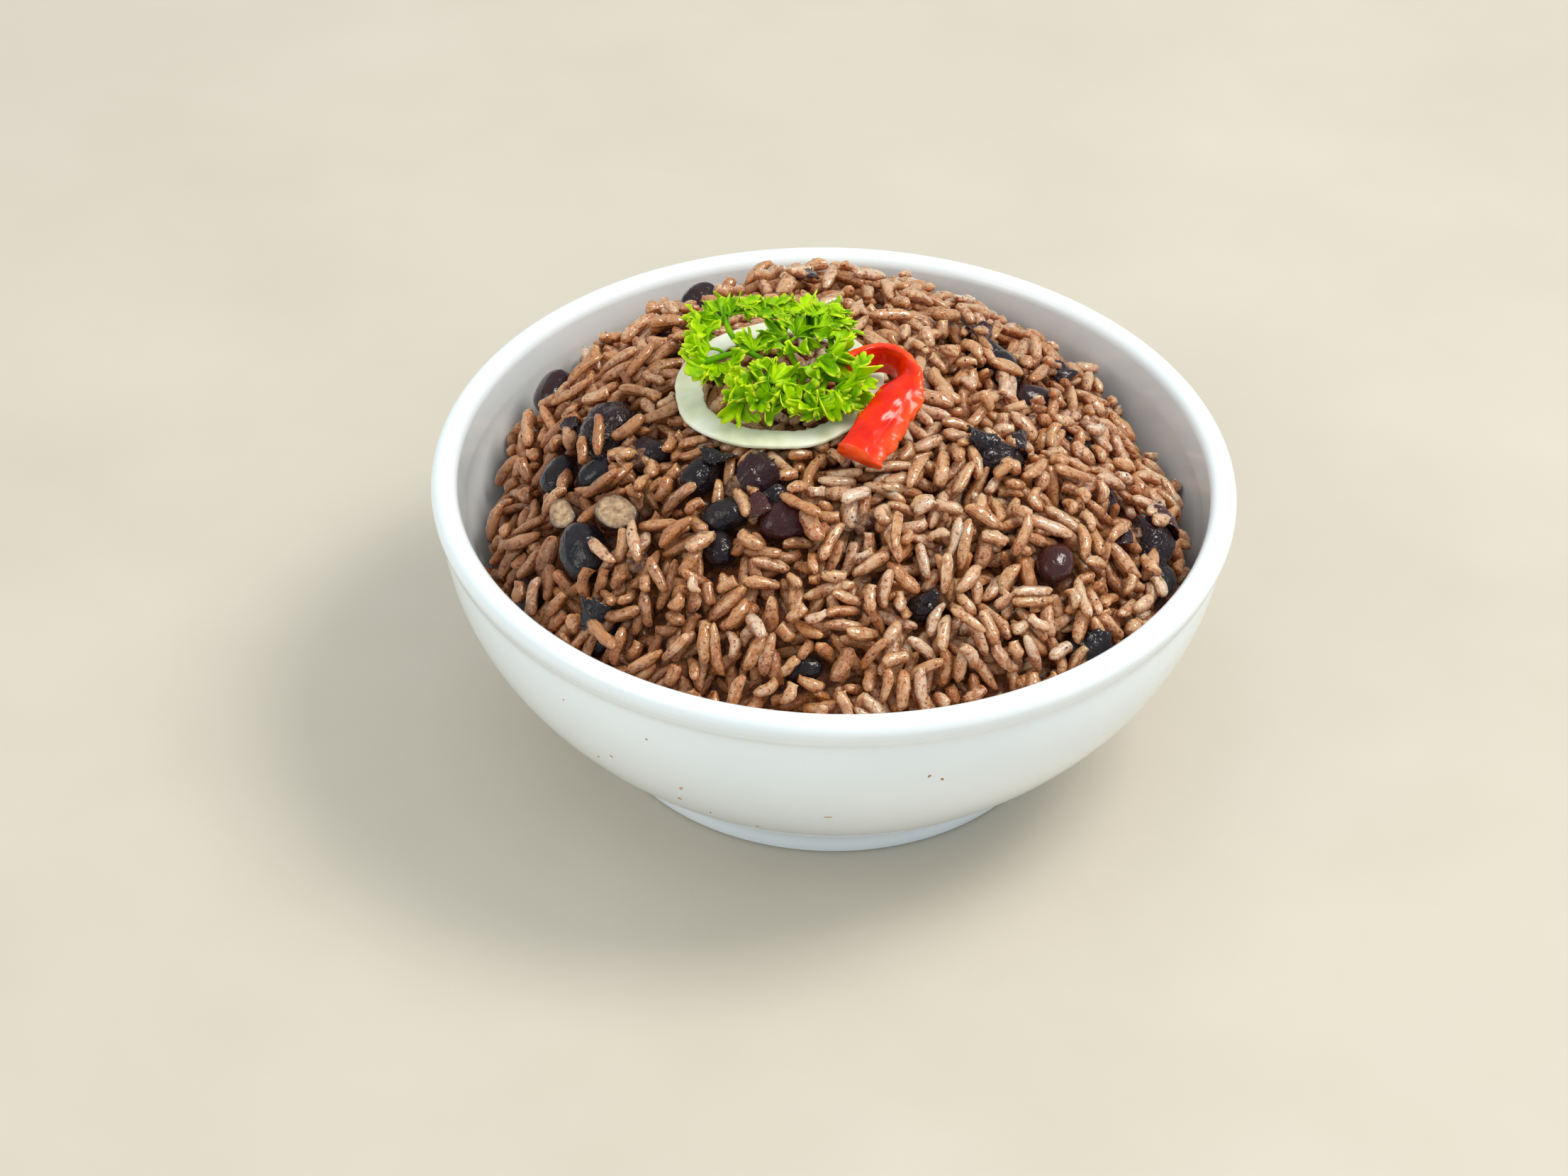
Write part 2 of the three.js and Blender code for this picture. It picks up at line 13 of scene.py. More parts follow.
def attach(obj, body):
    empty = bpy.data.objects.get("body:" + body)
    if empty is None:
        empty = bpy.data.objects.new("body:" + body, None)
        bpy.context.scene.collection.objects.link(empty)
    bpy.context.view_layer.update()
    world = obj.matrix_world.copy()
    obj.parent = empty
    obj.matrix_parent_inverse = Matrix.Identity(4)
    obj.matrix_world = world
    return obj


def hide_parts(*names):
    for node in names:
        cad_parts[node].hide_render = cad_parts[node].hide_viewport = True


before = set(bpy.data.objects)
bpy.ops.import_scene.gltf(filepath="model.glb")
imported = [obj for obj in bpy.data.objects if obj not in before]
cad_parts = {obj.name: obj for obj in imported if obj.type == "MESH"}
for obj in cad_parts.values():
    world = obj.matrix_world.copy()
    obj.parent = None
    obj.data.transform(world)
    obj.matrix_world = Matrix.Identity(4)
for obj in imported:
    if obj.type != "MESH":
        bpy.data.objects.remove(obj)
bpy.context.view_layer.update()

MM = 0.001
SEED = 20261
CLEARANCE = 0.35  # between pieces that lie on each other
TURN = 2 * math.pi
ANY_PHASE = 6.3  # waves start anywhere between 0 and this, in radians

# ---------------------------------------------------------------------------
# Helpers for meshes
# ---------------------------------------------------------------------------


def random_from(name):
    """A random source of its own for each kind of piece, so that one doesn't disturb another."""
    return np.random.default_rng(SEED + sum(map(ord, name)))


def ripple(points, size, seed, waves=7):
    """Smooth unevenness of about -1 to 1, with bumps of a size in mm."""
    source = np.random.default_rng(seed)
    total = 0.0
    for _ in range(waves):
        direction = source.normal(size=points.shape[-1])
        direction *= TURN * source.uniform(0.7, 1.4) / size / np.linalg.norm(direction)
        total = total + np.sin(points @ direction + source.uniform(0, TURN))
    return total / math.sqrt(waves)


def build_mesh(name, points, quads=(), triangles=(), corner_uv=None, **values):
    """A smooth mesh: points in mm, faces as corner numbers, and one number per point for each value."""
    quads = np.asarray(quads, np.int32).reshape(-1, 4)
    triangles = np.asarray(triangles, np.int32).reshape(-1, 3)
    corners = np.concatenate([quads.ravel(), triangles.ravel()])
    quad_starts = np.arange(len(quads)) * 4
    triangle_starts = len(quads) * 4 + np.arange(len(triangles)) * 3
    starts = np.concatenate([quad_starts, triangle_starts])
    mesh = bpy.data.meshes.new(name)
    mesh.vertices.add(len(points))
    mesh.vertices.foreach_set("co", (np.asarray(points, float) * MM).ravel())
    mesh.loops.add(len(corners))
    mesh.loops.foreach_set("vertex_index", corners)
    mesh.polygons.add(len(starts))
    mesh.polygons.foreach_set("loop_start", starts.astype(np.int32))
    mesh.update(calc_edges=True)
    mesh.validate()
    mesh.polygons.foreach_set("use_smooth", np.full(len(starts), True))
    if corner_uv is not None:
        layer = mesh.uv_layers.new(name="UVMap")
        layer.data.foreach_set("uv", np.asarray(corner_uv, float).ravel())
    for key, value in values.items():
        layer = mesh.attributes.new(key, "FLOAT", "POINT")
        layer.data.foreach_set("value", np.asarray(value, float).ravel())
    return mesh


def link_object(mesh):
    thing = bpy.data.objects.new(mesh.name, mesh)
    bpy.context.scene.collection.objects.link(thing)
    return thing


def add_object(mesh, material):
    mesh.materials.clear()
    mesh.materials.append(material)
    return link_object(mesh)


def place_piece(thing, slot, *nodes):
    """Attaches a finished piece to the root body and hides the solids that it stands for. Its slot is not
    used.
    """
    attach(thing, "root")
    if nodes:
        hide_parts(*nodes)


def plain_mesh(carrier, name):
    """The evaluated mesh of an object with modifiers, which is then removed."""
    bpy.context.view_layer.update()
    evaluated = carrier.evaluated_get(bpy.context.evaluated_depsgraph_get())
    mesh = bpy.data.meshes.new_from_object(evaluated)
    mesh.name = name
    bpy.data.objects.remove(carrier)
    return mesh


def thicken(sheet, name, thickness, offset):
    """A thin sheet as a closed mesh: at an offset of -1 its faces are one side, and at 0 its middle."""
    carrier = link_object(sheet)
    solid = carrier.modifiers.new("thickness", "SOLIDIFY")
    solid.thickness = thickness * MM
    solid.offset = offset
    return plain_mesh(carrier, name)


def outward(mesh):
    """Merges doubles and turns the faces outwards."""
    work = bmesh.new()
    work.from_mesh(mesh)
    bmesh.ops.remove_doubles(work, verts=work.verts, dist=1e-6)
    bmesh.ops.recalc_face_normals(work, faces=work.faces)
    work.to_mesh(mesh)
    work.free()
    return mesh


def grid_faces(rows, columns, wrap_rows=False, wrap_columns=False):
    """Quads over a grid of points, row by row."""
    quads = []
    for i in range(rows if wrap_rows else rows - 1):
        for j in range(columns if wrap_columns else columns - 1):
            here, beside = i * columns + j, i * columns + (j + 1) % columns
            above = ((i + 1) % rows) * columns
            quads.append((here, beside, above + (j + 1) % columns, above + j))
    return np.array(quads)


def tube_faces(rows, columns):
    """Quads over rings of points, and triangles that close the ends on the two points after them."""
    j = np.arange(columns)
    beside = (j + 1) % columns
    first, last = rows * columns, rows * columns + 1
    last_ring = (rows - 1) * columns
    fans = np.vstack([
        np.stack([np.full(columns, first), beside, j], 1),
        np.stack([np.full(columns, last), last_ring + j, last_ring + beside], 1),
    ])
    return grid_faces(rows, columns, wrap_columns=True), fans


def ball_arrays(subdivisions):
    """Points and triangles of a ball with a radius of 1."""
    work = bmesh.new()
    bmesh.ops.create_icosphere(work, subdivisions=subdivisions, radius=1.0)
    points = np.array([v.co for v in work.verts])
    triangles = np.array([[v.index for v in f.verts] for f in work.faces])
    work.free()
    return points, triangles


def for_each(faces, forms):
    """The faces of one form, for each of several forms with the same number of points."""
    return np.vstack([faces + len(form) * number for number, form in enumerate(forms)])


def curve_piece(p0, p1, p2, p3, steps=24):
    """Points from p1 up to p2 on a centripetal Catmull-Rom curve."""
    gaps = [np.linalg.norm(b - a) ** 0.5 for a, b in ((p0, p1), (p1, p2), (p2, p3))]
    k0, k1, k2, k3 = np.cumsum([0, *gaps])

    def blend(a, b, low, high):
        return ((high - t) * a + (t - low) * b) / (high - low)

    for t in np.linspace(k1, k2, steps, endpoint=False):
        near, middle, far = blend(p0, p1, k0, k1), blend(p1, p2, k1, k2), blend(p2, p3, k2, k3)
        yield blend(blend(near, middle, k0, k2), blend(middle, far, k1, k3), k1, k2)


def smooth_path(points, count):
    """Even steps along a smooth curve through the points, and their shares of its length."""
    points = np.asarray(points, float)
    ends = [2 * points[0] - points[1], *points, 2 * points[-1] - points[-2]]
    fine = []
    for corners in zip(ends, ends[1:], ends[2:], ends[3:]):
        fine += curve_piece(*corners)
    fine = np.array([*fine, points[-1]])
    length = np.concatenate([[0], np.cumsum(np.linalg.norm(np.diff(fine, axis=0), axis=1))])
    shares = np.linspace(0, 1, count)
    return np.stack([np.interp(shares * length[-1], length, fine[:, k]) for k in range(3)], 1), shares


# ---------------------------------------------------------------------------
# Helpers for materials and node trees
# ---------------------------------------------------------------------------


def colour(hex_code):
    """An sRGB hex colour as linear RGBA."""
    parts = [int(hex_code[i:i + 2], 16) / 255 for i in (1, 3, 5)]
    return (*(c / 12.92 if c <= 0.04045 else ((c + 0.055) / 1.055) ** 2.4 for c in parts), 1.0)


def per_mm(size):
    """The scale of a pattern on Object coordinates whose features measure about size millimetres."""
    return 1 / (size * MM)


def set_inputs(tree, node, inputs):
    """A value is a number, a colour, an output of another node, or a node, which means its first output."""
    for key, value in inputs.items():
        if isinstance(value, bpy.types.Node):
            value = value.outputs[0]
        if isinstance(value, bpy.types.NodeSocket):
            tree.links.new(value, node.inputs[key])
        else:
            node.inputs[key].default_value = value


def add_node(tree, kind, inputs=None, stops=(), **settings):
    """Adds a node with its settings and links, and on a colour ramp its stops of place and colour.

    On a mix of colours, input 0 is the share, 6 and 7 are the colours and output 2 is the result.
    """
    node = tree.nodes.new(kind)
    for key, value in settings.items():
        setattr(node, key, value)
    while stops and len(node.color_ramp.elements) < len(stops):
        node.color_ramp.elements.new(0.5)
    for number, (place, code) in enumerate(stops):
        node.color_ramp.elements[number].position = place
        node.color_ramp.elements[number].color = colour(code)
    set_inputs(tree, node, inputs or {})
    return node


def new_material(name):
    """A material with its node tree, its Principled shader and the Object coordinates of its piece."""
    material = bpy.data.materials.new(name)
    material.use_nodes = True
    tree = material.node_tree
    place = add_node(tree, "ShaderNodeTexCoord").outputs["Object"]
    return material, tree, tree.nodes["Principled BSDF"], place


def new_shape_tree(name, inputs):
    """A Geometry Nodes tree that takes and gives geometry, with more inputs by name and kind."""
    tree = bpy.data.node_groups.new(name, "GeometryNodeTree")
    tree.interface.new_socket("Geometry", in_out="INPUT", socket_type="NodeSocketGeometry")
    for key, kind in inputs.items():
        tree.interface.new_socket(key, in_out="INPUT", socket_type="NodeSocket" + kind)
    tree.interface.new_socket("Geometry", in_out="OUTPUT", socket_type="NodeSocketGeometry")
    return tree


def shape_with(tree, mesh, name, values):
    """The mesh that a Geometry Nodes tree makes from another mesh, with values for its inputs."""
    carrier = link_object(mesh)
    modifier = carrier.modifiers.new("shape", "NODES")
    modifier.node_group = tree
    for item in tree.interface.items_tree:
        if item.in_out == "INPUT" and item.name in values:
            modifier[item.identifier] = values[item.name]
    return plain_mesh(carrier, name)


# ---------------------------------------------------------------------------
# Materials
# ---------------------------------------------------------------------------


def glaze_material():
    # White tin glaze fired on stoneware: a deep clear gloss over a bright, faintly
    # cool white, with the long soft waves that a dipped glaze keeps.
    material, tree, shader, place = new_material("white glaze on stoneware")
    cloud = add_node(tree, "ShaderNodeTexNoise", {
        "Vector": place, "Scale": per_mm(40), "Detail": 3.0, "Roughness": 0.55,
    })
    pale = add_node(tree, "ShaderNodeMapRange", {"Value": cloud, "From Min": 0.35, "From Max": 0.65})
    shade = add_node(tree, "ShaderNodeValToRGB", {"Fac": pale}, stops=[(0, "#e9eff0"), (1, "#eff3f3")])
    waves = add_node(tree, "ShaderNodeTexNoise", {
        "Vector": place, "Scale": per_mm(14), "Detail": 1, "Roughness": 0.55,
    })
    dipped = add_node(tree, "ShaderNodeBump", {"Height": waves, "Distance": 0.05 * MM})
    set_inputs(tree, shader, {"Base Color": shade, "Roughness": 0.14, "IOR": 1.52, "Normal": dipped})
    return material


def rice_material():
    # Long-grain rice cooked in bean broth: moist, slightly see-through grains of
    # pinkish cream, with broth dried brown on them and at their tips, and painted shade in brown on their
    # undersides and on the grains that lie deep in the gaps.
    material, tree, shader, place = new_material("boiled rice")
    tone = add_node(tree, "ShaderNodeAttribute", attribute_name="tone").outputs["Fac"]
    film_and_shade = add_node(tree, "ShaderNodeAttribute", attribute_name="film").outputs["Fac"]
    depth = add_node(tree, "ShaderNodeAttribute", attribute_name="depth").outputs["Fac"]
    broth = add_node(tree, "ShaderNodeAttribute", attribute_name="broth").outputs["Fac"]
    body = add_node(tree, "ShaderNodeValToRGB", {"Fac": tone}, stops=[
        (0.0, "#a7754b"), (0.25, "#c18f63"), (0.5, "#cfa178"), (0.75, "#d6ae8d"), (1.0, "#dbbda5"),
    ])
    # broth dries in patches a millimetre or two wide, most where the film gathers; the film also carries
    # painted shade on undersides and on deep grains
    drying = add_node(tree, "ShaderNodeTexNoise", {
        "Vector": place, "Scale": per_mm(1.1), "Detail": 5, "Roughness": 0.66,
    })
    patch = add_node(tree, "ShaderNodeMapRange", {"Value": drying, "From Min": 0.34, "From Max": 0.66})
    film = add_node(tree, "ShaderNodeMath", {0: film_and_shade, 1: patch}, operation="ADD")
    cloud = add_node(tree, "ShaderNodeTexNoise", {
        "Vector": place, "Scale": per_mm(4), "Detail": 3.0, "Roughness": 0.55,
    })
    amber = add_node(tree, "ShaderNodeMapRange", {"Value": cloud, "From Min": 0.3, "From Max": 0.7})
    brown = add_node(tree, "ShaderNodeValToRGB", {"Fac": amber}, stops=[(0, "#9a5529"), (1, "#c58243")])
    dried = add_node(tree, "ShaderNodeMapRange", {"Value": film, "From Min": 0.66, "To Max": 0.78})
    stained = add_node(tree, "ShaderNodeMix", {0: dried, 6: body, 7: brown}, data_type="RGBA")
    # painted shade: grains that lie deep under the highest ones are mixed towards dark brown
    inner = add_node(tree, "ShaderNodeMapRange", {"Value": depth, "From Min": 0.4, "To Max": 0.22})
    painted_deep_shade = add_node(tree, "ShaderNodeMix", {
        0: inner, 6: stained.outputs[2], 7: colour("#96481c"),
    }, data_type="RGBA")
    # where bean broth has gathered the grains are stained dark, and the grains that lie deeper are darker
    # still as painted shade
    soaked = add_node(tree, "ShaderNodeMapRange", {"Value": broth, "From Min": 0.05, "To Max": 0.8})
    dark = add_node(tree, "ShaderNodeMix", {
        0: soaked, 6: painted_deep_shade.outputs[2], 7: colour("#402416"),
    }, data_type="RGBA")
    # specks of bean skin and spice, 0.2 to 0.4 mm wide, most where the film of dried broth and painted
    # shade is high
    more = add_node(tree, "ShaderNodeMath", {0: film, 1: 0.1}, operation="MULTIPLY")
    powder = add_node(tree, "ShaderNodeTexNoise", {
        "Vector": place, "Scale": per_mm(0.45), "Detail": 2, "Roughness": 0.55,
    })
    dust = add_node(tree, "ShaderNodeMath", {0: powder, 1: more}, operation="ADD")
    specks = add_node(tree, "ShaderNodeMapRange", {
        "Value": dust, "From Min": 0.68, "From Max": 0.75, "To Max": 0.85,
    })
    speckled = add_node(tree, "ShaderNodeMix", {
        0: specks, 6: dark.outputs[2], 7: colour("#5a2410"),
    }, data_type="RGBA")
    damp = add_node(tree, "ShaderNodeTexNoise", {
        "Vector": place, "Scale": per_mm(1), "Detail": 3.0, "Roughness": 0.55,
    })
    roughness = add_node(tree, "ShaderNodeMapRange", {
        "Value": damp, "From Min": 0.35, "From Max": 0.65, "To Min": 0.26, "To Max": 0.5,
    })
    # the UV runs in millimetres along the grain and round it
    along = add_node(tree, "ShaderNodeUVMap", uv_map="UVMap")
    slender = add_node(tree, "ShaderNodeVectorMath", {0: along, 1: (0.4, 1.5, 1.0)}, operation="MULTIPLY")
    streaks = add_node(tree, "ShaderNodeTexNoise", {"Vector": slender, "Scale": 1.0, "Detail": 1.0})
    furrows = add_node(tree, "ShaderNodeMapRange", {"Value": streaks, "From Min": 0.3, "From Max": 0.7})
    grooves = add_node(tree, "ShaderNodeBump", {"Height": furrows, "Distance": 0.12 * MM})
    pimples = add_node(tree, "ShaderNodeTexNoise", {
        "Vector": place, "Scale": per_mm(0.8), "Detail": 2, "Roughness": 0.55,
    })
    pits = add_node(tree, "ShaderNodeMapRange", {"Value": pimples, "From Min": 0.3, "From Max": 0.7})
    skin = add_node(tree, "ShaderNodeBump", {"Height": pits, "Distance": 0.13 * MM, "Normal": grooves})
    # the wet film over the grain has low waves, which break its highlights into glints
    waves = add_node(tree, "ShaderNodeTexNoise", {
        "Vector": place, "Scale": per_mm(0.85), "Detail": 0.5, "Roughness": 0.55,
    })
    swells = add_node(tree, "ShaderNodeMapRange", {"Value": waves, "From Min": 0.3, "From Max": 0.7})
    glints = add_node(tree, "ShaderNodeBump", {"Height": swells, "Distance": 0.09 * MM})
    wet = add_node(tree, "ShaderNodeMapRange", {
        "Value": depth, "From Min": 0.2, "From Max": 0.9, "To Min": 1.0, "To Max": 0.25,
    })
    set_inputs(tree, shader, {
        "Base Color": speckled.outputs[2], "Roughness": roughness, "IOR": 1.42, "Specular IOR Level": 0.65,
        "Subsurface Weight": 0.8, "Subsurface Scale": 0.0034, "Subsurface Radius": (1.0, 0.56, 0.32),
        "Coat Weight": wet, "Coat Roughness": 0.07, "Coat IOR": 1.7, "Normal": skin, "Coat Normal": glints,
    })
    return material


def bean_skin_material():
    # Boiled black bean skin: near-black purple, blue-black or maroon, wet and
    # glossy, with fine wrinkles and a film of starch in places.
    material, tree, shader, place = new_material("boiled black bean skin")
    tone = add_node(tree, "ShaderNodeAttribute", attribute_name="tone").outputs["Fac"]
    skin = add_node(tree, "ShaderNodeValToRGB", {"Fac": tone}, stops=[
        (0.0, "#1a1c24"), (0.3, "#1a1318"), (0.55, "#2a171c"), (0.8, "#3a171b"), (1.0, "#4f2724"),
    ])
    cloud = add_node(tree, "ShaderNodeTexNoise", {
        "Vector": place, "Scale": per_mm(3), "Detail": 4, "Roughness": 0.55,
    })
    mottle = add_node(tree, "ShaderNodeMapRange", {"Value": cloud, "From Min": 0.45, "From Max": 0.75})
    paler = add_node(tree, "ShaderNodeMix", {0: 0.2, 6: skin, 7: colour("#614a42")}, data_type="RGBA")
    mottled = add_node(tree, "ShaderNodeMix", {0: mottle, 6: skin, 7: paler.outputs[2]}, data_type="RGBA")
    flecks = add_node(tree, "ShaderNodeTexNoise", {
        "Vector": place, "Scale": per_mm(0.6), "Detail": 2, "Roughness": 0.55,
    })
    starch = add_node(tree, "ShaderNodeMapRange", {
        "Value": flecks, "From Min": 0.70, "From Max": 0.78, "To Max": 0.4,
    })
    filmed = add_node(tree, "ShaderNodeMix", {
        0: starch, 6: mottled.outputs[2], 7: colour("#8d7c70"),
    }, data_type="RGBA")
    damp = add_node(tree, "ShaderNodeTexNoise", {
        "Vector": place, "Scale": per_mm(2.2), "Detail": 3.0, "Roughness": 0.55,
    })
    roughness = add_node(tree, "ShaderNodeMapRange", {
        "Value": damp, "From Min": 0.35, "From Max": 0.65, "To Min": 0.12, "To Max": 0.36,
    })
    creases = add_node(tree, "ShaderNodeTexNoise", {
        "Vector": place, "Scale": per_mm(1.8), "Detail": 1, "Roughness": 0.55, "Distortion": 0.8,
    })
    creased = add_node(tree, "ShaderNodeBump", {"Height": creases, "Distance": 0.08 * MM})
    # skin that has come loose from the flesh lies in narrow ridges about a millimetre apart
    folds = add_node(tree, "ShaderNodeTexNoise", {
        "Vector": place, "Scale": per_mm(1.2), "Detail": 1.5, "Roughness": 0.55, "Distortion": 1.2,
    })
    ridges = add_node(tree, "ShaderNodeMapRange", {"Value": folds, "From Min": 0.35, "From Max": 0.65})
    wrinkled = add_node(tree, "ShaderNodeAttribute", attribute_name="wrinkled").outputs["Fac"]
    loose = add_node(tree, "ShaderNodeMath", {0: ridges, 1: wrinkled}, operation="MULTIPLY")
    folded = add_node(tree, "ShaderNodeBump", {"Height": loose, "Distance": 0.3 * MM, "Normal": creased})
    film = add_node(tree, "ShaderNodeBump", {"Height": loose, "Distance": 0.12 * MM, "Normal": creased})
    set_inputs(tree, shader, {
        "Base Color": filmed.outputs[2], "Roughness": roughness, "IOR": 1.45, "Specular IOR Level": 0.22,
        "Coat Weight": 0.8, "Coat Roughness": 0.15, "Normal": folded, "Coat Normal": film,
    })
    return material


def bean_flesh_material():
    # The mealy inside of a split black bean: granular tan, darker round its rim.
    material, tree, shader, place = new_material("black bean flesh")
    meal = add_node(tree, "ShaderNodeTexNoise", {
        "Vector": place, "Scale": per_mm(1.1), "Detail": 4, "Roughness": 0.55,
    })
    grainy = add_node(tree, "ShaderNodeMapRange", {"Value": meal, "From Min": 0.3, "From Max": 0.7})
    middle = add_node(tree, "ShaderNodeValToRGB", {"Fac": grainy}, stops=[(0, "#8a6545"), (1, "#d2b28a")])
    tip = add_node(tree, "ShaderNodeAttribute", attribute_name="tip").outputs["Fac"]
    rim = add_node(tree, "ShaderNodeMapRange", {"Value": tip, "From Min": 0.58, "From Max": 0.98})
    base = add_node(tree, "ShaderNodeMix", {0: rim, 6: middle, 7: colour("#33211b")}, data_type="RGBA")
    crumble = add_node(tree, "ShaderNodeTexNoise", {
        "Vector": place, "Scale": per_mm(0.6), "Detail": 3.0, "Roughness": 0.55,
    })
    mealy = add_node(tree, "ShaderNodeBump", {"Height": crumble, "Distance": 0.4 * MM})
    set_inputs(tree, shader, {
        "Base Color": base.outputs[2], "Roughness": 0.4, "Normal": mealy,
        "Subsurface Weight": 0.3, "Subsurface Scale": 0.001, "Coat Weight": 0.7, "Coat Roughness": 0.15,
    })
    return material


def mush_material(name, size, stops, depth, spread, finish):
    """Food crushed to a paste: lumps of a size in mm, which stand out by a depth."""
    material, tree, shader, place = new_material(name)
    lumps = add_node(tree, "ShaderNodeTexNoise", {
        "Vector": place, "Scale": per_mm(size), "Detail": 4, "Roughness": 0.6,
    })
    shades = add_node(tree, "ShaderNodeMapRange", {"Value": lumps, "From Min": 0.32, "From Max": 0.68})
    shade = add_node(tree, "ShaderNodeValToRGB", {"Fac": shades}, stops=stops)
    rises = add_node(tree, "ShaderNodeMapRange", {
        "Value": lumps, "From Min": 0.5 - spread, "From Max": 0.5 + spread,
    })
    lumpy = add_node(tree, "ShaderNodeBump", {"Height": rises, "Distance": depth * MM})
    set_inputs(tree, shader, {"Base Color": shade, "Normal": lumpy, **finish})
    return material


def core_material():
    # Crushed rice, bean and broth between the grains: a moist reddish brown mush.
    return mush_material(
        "crushed rice and broth", size=1.8, depth=1.1, spread=0.18,
        stops=[(0, "#44200d"), (0.5, "#84461f"), (1, "#ab6a34")],
        finish={"Roughness": 0.4, "Coat Weight": 0.4, "Coat Roughness": 0.2},
    )


def mash_material():
    # Crushed black bean: mauve-brown skin and paste with paler grains of flesh.
    return mush_material(
        "crushed black bean", size=1.3, depth=0.6, spread=0.2,
        stops=[(0, "#3a211a"), (0.5, "#784e38"), (1, "#a97f5c")],
        finish={"Roughness": 0.36, "Coat Weight": 0.5, "Coat Roughness": 0.16},
    )


def matt_material(name, size, spread, dark, pale, roughness):
    """A matt finish whose colour drifts between two shades over a size in mm."""
    material, tree, shader, place = new_material(name)
    cloud = add_node(tree, "ShaderNodeTexNoise", {
        "Vector": place, "Scale": per_mm(size), "Detail": 3.0, "Roughness": 0.55,
    })
    shades = add_node(tree, "ShaderNodeMapRange", {
        "Value": cloud, "From Min": 0.5 - spread, "From Max": 0.5 + spread,
    })
    shade = add_node(tree, "ShaderNodeValToRGB", {"Fac": shades}, stops=[(0, dark), (1, pale)])
    set_inputs(tree, shader, {"Base Color": shade, "Roughness": roughness})
    return material


def speck_material():
    # Crumbs of bean skin and ground spice: dark brown and matt.
    return matt_material("crumbs of bean and spice", 1.5, 0.1, "#23120d", "#5b301b", 0.55)


def crumb_material():
    # Dried broth and grain dust on the bowl: orange-brown and matt.
    return matt_material("dried crumbs on glaze", 1.0, 0.15, "#a3673a", "#e0b478", 0.7)


def floor_material():
    # A plain painted table top, pale and matt.
    return matt_material("pale painted board", 60, 0.2, "#c6bcab", "#ccc2b2", 0.75)


def onion_material():
    # A slice of raw white onion: wet, greenish white and see-through enough for
    # the rice below to dim it, with paler fibres across its band.
    material, tree, shader, place = new_material("raw onion flesh")
    cloud = add_node(tree, "ShaderNodeTexNoise", {
        "Vector": place, "Scale": per_mm(6), "Detail": 2, "Roughness": 0.55,
    })
    pale = add_node(tree, "ShaderNodeMapRange", {"Value": cloud, "From Min": 0.35, "From Max": 0.65})
    flesh = add_node(tree, "ShaderNodeValToRGB", {"Fac": pale}, stops=[
        (0.0, "#dcdcb6"), (0.6, "#ececcb"), (1.0, "#f5f5dc"),
    ])
    fibre = add_node(tree, "ShaderNodeAttribute", attribute_name="fibre").outputs["Fac"]
    fibres = add_node(tree, "ShaderNodeMapRange", {"Value": fibre, "From Min": 0.2, "To Max": 0.3})
    base = add_node(tree, "ShaderNodeMix", {0: fibres, 6: flesh, 7: colour("#e8ecd6")}, data_type="RGBA")
    cells = add_node(tree, "ShaderNodeTexNoise", {
        "Vector": place, "Scale": per_mm(0.8), "Detail": 2, "Roughness": 0.55,
    })
    juicy = add_node(tree, "ShaderNodeBump", {"Height": cells, "Distance": 0.06 * MM})
    set_inputs(tree, shader, {
        "Base Color": base.outputs[2], "Roughness": 0.3, "IOR": 1.38, "Transmission Weight": 0.07,
        "Subsurface Weight": 0.3, "Subsurface Scale": 0.002, "Subsurface Radius": (1.0, 1.0, 0.8),
        "Coat Weight": 0.25, "Coat Roughness": 0.2, "Normal": juicy,
    })
    return material


def parsley_material():
    # Fresh curly parsley: thin bright leaf, green in its folds and yellow towards
    # its teeth, with light showing through and a faint waxy sheen.
    material, tree, shader, place = new_material("parsley leaf")
    tone = add_node(tree, "ShaderNodeAttribute", attribute_name="tone").outputs["Fac"]
    tip = add_node(tree, "ShaderNodeAttribute", attribute_name="tip").outputs["Fac"]
    vein = add_node(tree, "ShaderNodeAttribute", attribute_name="vein").outputs["Fac"]
    patch = add_node(tree, "ShaderNodeTexNoise", {
        "Vector": place, "Scale": per_mm(3), "Detail": 3.0, "Roughness": 0.55,
    })
    own = add_node(tree, "ShaderNodeMath", {0: tone, 1: 0.35}, operation="MULTIPLY")
    both = add_node(tree, "ShaderNodeMath", {0: patch, 1: own}, operation="ADD")
    green = add_node(tree, "ShaderNodeMapRange", {"Value": both, "From Min": 0.45, "From Max": 0.95})
    leaf = add_node(tree, "ShaderNodeValToRGB", {"Fac": green}, stops=[
        (0.0, "#5a9200"), (0.5, "#98c602"), (1.0, "#c0e206"),
    ])
    tips = add_node(tree, "ShaderNodeMapRange", {"Value": tip, "From Min": 0.4, "To Max": 0.85})
    yellowed = add_node(tree, "ShaderNodeMix", {0: tips, 6: leaf, 7: colour("#eae83a")}, data_type="RGBA")
    veins = add_node(tree, "ShaderNodeMapRange", {"Value": vein, "From Min": 0.3, "To Max": 0.45})
    veined = add_node(tree, "ShaderNodeMix", {
        0: veins, 6: yellowed.outputs[2], 7: colour("#b0dc3c"),
    }, data_type="RGBA")
    ribs = add_node(tree, "ShaderNodeBump", {"Height": vein, "Distance": 0.1 * MM})
    crinkles = add_node(tree, "ShaderNodeTexNoise", {
        "Vector": place, "Scale": per_mm(0.9), "Detail": 2, "Roughness": 0.55,
    })
    puckers = add_node(tree, "ShaderNodeMapRange", {"Value": crinkles, "From Min": 0.3, "From Max": 0.7})
    crinkled = add_node(tree, "ShaderNodeBump", {"Height": puckers, "Distance": 0.05 * MM, "Normal": ribs})
    set_inputs(tree, shader, {
        "Base Color": veined.outputs[2], "Roughness": 0.3, "IOR": 1.36, "Specular IOR Level": 0.22,
        "Subsurface Weight": 0.12, "Subsurface Scale": 0.0008, "Subsurface Radius": (0.6, 1.0, 0.1),
        "Normal": crinkled,
    })
    return material


